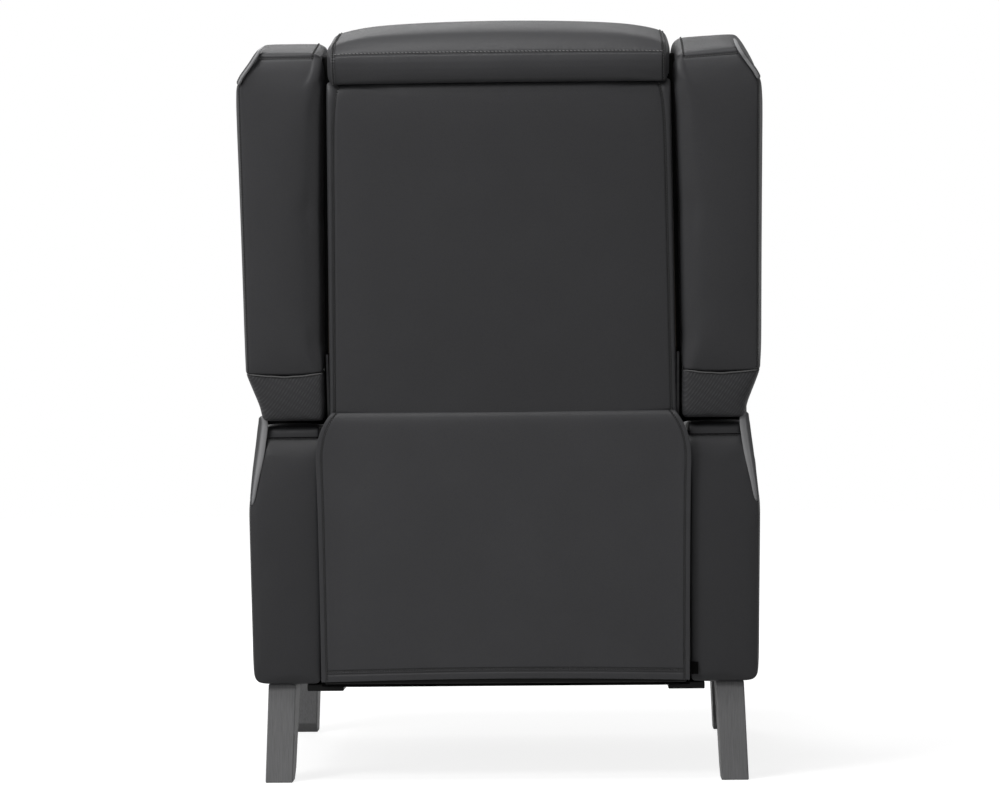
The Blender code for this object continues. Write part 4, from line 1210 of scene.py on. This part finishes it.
# Threads: small stitches along the sewn lines
def walk(run, pitch):
    # places along a run of (place, normal), one pitch apart
    steps = []
    left = pitch * 0.5
    for (one, up), (two, _) in zip(run, run[1:]):
        gap = (two - one).length
        while left <= gap:
            steps.append((one.lerp(two, left / gap), (two - one).normalized(), up))
            left += pitch
        left -= gap
    return steps


def sew(name, cover, runs, thread, look):
    piece = bpy.data.objects[cover]
    surface = BVHTree.FromObject(piece, bpy.context.evaluated_depsgraph_get())
    size = Matrix.Diagonal((look["length"] / 2, look["wide"] / 2, look["wide"] / 2, 1))
    slant = Matrix.Rotation(math.radians(look["slant"]), 4, "Z")
    bm = bmesh.new()
    for run in runs:
        for at, ahead, up in walk(run, look["pitch"]):
            side = ahead.cross(up).normalized()
            spot, facing, *_ = surface.find_nearest(at + side * look["aside"])
            if not spot:
                continue
            side = ahead.cross(facing).normalized()
            ahead = facing.cross(side).normalized()
            turned = Matrix((ahead, side, facing)).transposed().to_4x4() @ slant
            lifted = Matrix.Translation(spot + facing * look["lift"])
            bmesh.ops.create_uvsphere(bm, u_segments=6, v_segments=4, radius=1,
                                      matrix=lifted @ turned @ size)
    threads = keep(bm, name, thread)
    return threads


longStitch = {"pitch": 0.0049, "length": 0.0045, "wide": 0.0019, "lift": 0.0001,
              "aside": 0.0024, "slant": 14}
fineStitch = {"pitch": 0.0035, "length": 0.0025, "wide": 0.0023, "lift": 0.0006,
              "aside": 0.0, "slant": 0}
secondStitch = {**fineStitch, "wide": 0.0013, "aside": 0.0032}
wingStitch = {**fineStitch, "wide": 0.0016}


def sewAll():
    ends, fine = ("endLeft", "endRight"), (darkThread, fineStitch)
    rows = [
        ("head_roll_thread", "head_roll_cover", ("band",), paleThread, longStitch, "back"),
        ("head_roll_ends_thread", "head_roll_cover", ends, *fine, "back"),
        ("head_roll_second_thread", "head_roll_cover", ends, darkThread, secondStitch, "back"),
    ]
    for side in ("left", "right"):
        cover = "wing_cover_" + side
        rows += [
            ("wing_thread_" + side, cover, ("top",), greyThread, wingStitch, "back"),
            ("wing_corner_thread_" + side, cover, ("corner",), *fine, "back"),
            ("wing_edge_thread_" + side, cover, ("edge",), *fine, "back"),
            ("arm_thread_" + side, "arm_cover_" + side, ("inner",), *fine, "base"),
        ]
    rows += [
        ("back_panel_thread", "back_panel_cover", ("sideLeft", "sideRight"), *fine, "back"),
        ("flap_thread", "flap_cover", ("bandLeft", "bandRight", "hem"), *fine, None),
    ]
    for name, cover, lines, finish, look, body in rows:
        threads = sew(name, cover, [run for line in lines for run in seamLines[cover][line]],
                      finish, look)
        if body:
            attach(threads, body)
        else:
            hangFlap(threads)


def widthAt(look, along):
    widths = look.get("widths", [look["wide"], look["wide"]])
    at = along * (len(widths) - 1)
    first = min(int(at), len(widths) - 2)
    return widths[first] + (widths[first + 1] - widths[first]) * (at - first)


# Welts: a flat strip with a ridge and a crease, its ends rounded over
weltShape = {"endRun": 0.45, "endLow": 0.45, "endNarrow": 0.35, "ridge": 0.75,
             "creaseAt": (0.02, 0.06), "rows": 6}


def buildWelt(name, points, facing, look, finish):
    count = look["segments"]
    path = curve(points, count)
    bm = bmesh.new()
    shadedFlank = bm.verts.layers.float.new("shadedFlank")
    bmesh.ops.create_cube(bm, size=1)
    bmesh.ops.translate(bm, vec=(0.5, 0, 0.5), verts=bm.verts)
    cutAcross(bm, 0, [i / count for i in range(1, count)])
    rows = weltShape["rows"]
    cutAcross(bm, 1, [i / rows - 0.5 for i in range(1, rows)])
    endLow, endNarrow = weltShape["endLow"], weltShape["endNarrow"]
    creaseAt, creaseWide = weltShape["creaseAt"]
    outward = facing.normalized()
    for vert in bm.verts:
        along, across, high = vert.co
        at = along * (len(path) - 1)
        first = min(int(at), len(path) - 2)
        spot = path[first].lerp(path[first + 1], at - first)
        before, after = path[max(0, first - 1)], path[min(len(path) - 1, first + 2)]
        ahead = (path[first + 1] - path[first] + (after - before) * 0.35).normalized()
        side = ahead.cross(outward).normalized()
        up = side.cross(ahead).normalized()
        fromEnd = min(along, 1 - along) * look["length"]
        end = min(1, fromEnd / (look["wide"] * weltShape["endRun"]))
        narrow = math.sqrt(max(0.0, 1 - (1 - end) ** 2))
        ridge = 1 - (2 * abs(across)) ** 3 * weltShape["ridge"]
        crease = look.get("crease", 0.0) * math.exp(-((across - creaseAt) / creaseWide) ** 2)
        lift = look["thick"] * high * (ridge * lerp(endLow, 1, narrow) - crease)
        wide = widthAt(look, along) * lerp(endNarrow, 1, narrow)
        # the outer side of the fold is painted darker: painted shade, where it turns away from
        # the light
        vert[shadedFlank] = 1.0 if across > look.get("shadedFlankFrom", 1) else 0.0
        vert.co = spot + side * across * wide + up * (lift - look["sunk"])
    bmesh.ops.remove_doubles(bm, verts=bm.verts[:], dist=1e-6)
    welt = keep(bm, name, finish)
    subdivide(welt, 1)
    return welt


weltLook = {"segments": 24, "wide": 0.0066, "thick": 0.0024, "sunk": 0.0006,
            "length": 0.06, "crease": 0.3, "shadedFlankFrom": 0.1}
armWeltLook = {**weltLook, "length": 0.12,
               "widths": [0.008, 0.0135, 0.0150, 0.0145, 0.0125, 0.01, 0.0065]}


def curve(points, count):
    # a smooth line through the points
    made = []
    spans = len(points) - 1
    for i in range(count + 1):
        at = i / count * spans
        n = min(int(at), spans - 1)
        t = at - n
        p0, p1 = points[max(0, n - 1)], points[n]
        p2, p3 = points[n + 1], points[min(spans, n + 2)]
        made.append(0.5 * (2 * p1 + (p2 - p0) * t + (2 * p0 - 5 * p1 + 4 * p2 - p3) * t * t
                           + (3 * p1 - p0 - 3 * p2 + p3) * t * t * t))
    return made


def buildWelts():
    turned = backPlace.to_3x3()
    onWing = onBack((0.3117, 0.010, 0.7078), (0.3141, 0.042, 0.7072), (0.3190, 0.0520, 0.7000),
                    (0.3240, 0.0540, 0.6925), (0.3300, 0.0560, 0.6845),
                    (0.3365, 0.0580, 0.6757), (0.3415, 0.0595, 0.6660))
    left = buildWelt("wing_piping_left", onWing, turned @ Vector((0.3, 0.9, 0.3)), weltLook,
                     weltFinish)
    pair(left, "back", "welt", "wing_welt", way=unevenWing)
    onArm = [(0.3270, 0.2790, 0.4965), (0.3249, 0.2795, 0.4890), (0.3254, 0.2800, 0.4790),
             (0.3293, 0.2825, 0.4480), (0.3330, 0.2855, 0.4250), (0.3362, 0.2868, 0.4050),
             (0.3403, 0.2868, 0.3760)]
    left = buildWelt("arm_piping_left", [Vector(at) for at in onArm],
                     Vector((0.25, 0.95, 0.08)), armWeltLook, weltFinish)
    pair(left, "base", "welt", "arm_welt")


# A thin cord where each wing meets its patterned foot
pipingLook = {"segments": 24, "wide": 0.0019, "thick": 0.0014, "sunk": 0.0004, "length": 0.1}
piping = {"points": 9, "ends": (0.002, 0.003), "in": 0.003, "bulge": 0.0035, "down": 0.0004,
          "ripples": ((0.0005, 9), (0.0003, 23))}


def buildPiping():
    innerGap, outerGap = piping["ends"]
    low, high = wing["insideLow"] + innerGap, wing["outsideLow"] - outerGap
    (first, often), (second, oftener) = piping["ripples"]
    points = []
    for i in range(piping["points"]):
        across = i / (piping["points"] - 1)
        drop = wing["dip"] * (1 - (2 * across - 1) ** 2)
        ripple = first * math.sin(often * across) + second * math.sin(oftener * across)
        bulge = piping["bulge"] * math.sqrt(max(0.0, 1 - (2 * across - 1) ** 6))
        points.append((high + (low - high) * across, wing["rear"] - piping["in"] + bulge,
                       wing["seam"] - drop + ripple - piping["down"]))
    left = buildWelt("foot_piping_left", onBack(*points), backPlace.to_3x3() @ Vector((0, 1, 0)),
                     pipingLook, greyThread)
    pair(left, "back", "welt")


# The floor glows nearly white where it is seen, and is plain grey to bounced light
stage = {"half": 9, "glow": 0.86, "farGlow": 0.16, "far": (0.7, 2.2), "matt": 0.32,
         "plain": 0.26}


def buildStage():
    bm = bmesh.new()
    bmesh.ops.create_grid(bm, x_segments=1, y_segments=1, size=stage["half"])
    made = Finish("floor")
    spread = made.add("ShaderNodeVectorMath", {"operation": "LENGTH"}, {0: made.place}, "Value")
    bright = stage["glow"] + stage["farGlow"] * made.between(spread, *stage["far"])
    glow = made.add("ShaderNodeEmission", {}, {"Color": (1, 1, 1, 1), "Strength": bright},
                    output="Emission")
    matt, plain = (
        made.add("ShaderNodeBsdfDiffuse", {}, {"Color": (share, share, share, 1)}, output="BSDF")
        for share in (stage["matt"], stage["plain"])
    )
    both = made.add("ShaderNodeAddShader", {}, {0: glow, 1: matt}, output="Shader")
    chosen = made.add("ShaderNodeMixShader", {}, {0: made.seenDirectly(), 1: plain, 2: both},
                      output="Shader")
    made.nodes.remove(made.shader)
    made.feed(made.nodes["Material Output"].inputs["Surface"], chosen)
    keep(bm, "floor", made.material)


lamps = {
    # where it stands, width, watts
    "top": ((1.8, 2.6, 2.8), 0.8, 46),
    "overhead": ((0.4, 1.3, 3.4), 1.0, 35),
    "left": ((2.0, 1.8, 1.5), 1.1, 15),
    "right": ((-3.2, 2.2, 1.2), 1.4, 1),
    "behind": ((0.6, -3.0, 2.4), 2.0, 48),
}
ambient = 0.1


def buildLights():
    scene = bpy.context.scene
    for name, (at, wide, watts) in lamps.items():
        lamp = bpy.data.objects.new(name + "_lamp", bpy.data.lights.new(name, "AREA"))
        lamp.data.size = wide
        lamp.data.energy = watts
        lamp.location = at
        toward = Vector((0, 0, 0.5)) - Vector(at)
        lamp.rotation_euler = toward.to_track_quat("-Z", "Y").to_euler()
        scene.collection.objects.link(lamp)
    world = bpy.data.worlds.new("studio")
    world.use_nodes = True
    scene.world = world
    room = Graph(world.node_tree)
    strength = ambient + (1 - ambient) * room.seenDirectly()
    background = room.nodes["Background"]
    background.inputs["Color"].default_value = (1, 1, 1, 1)
    room.feed(background.inputs["Strength"], strength)
    scene.view_settings.view_transform = "Standard"


placeCamera()
buildStage()
buildLights()
print("stage ready")
buildWings()
buildWingPads()
buildHeadRoll()
buildBackPanel()
buildShadeSheets()
print("back covered")
buildArms()
buildSeat()
buildBackCushions()
buildFootrestPad()
print("arms and cushions covered")
buildFlap()
buildTab()
buildWelts()
buildPiping()
sewAll()
print("sewn")
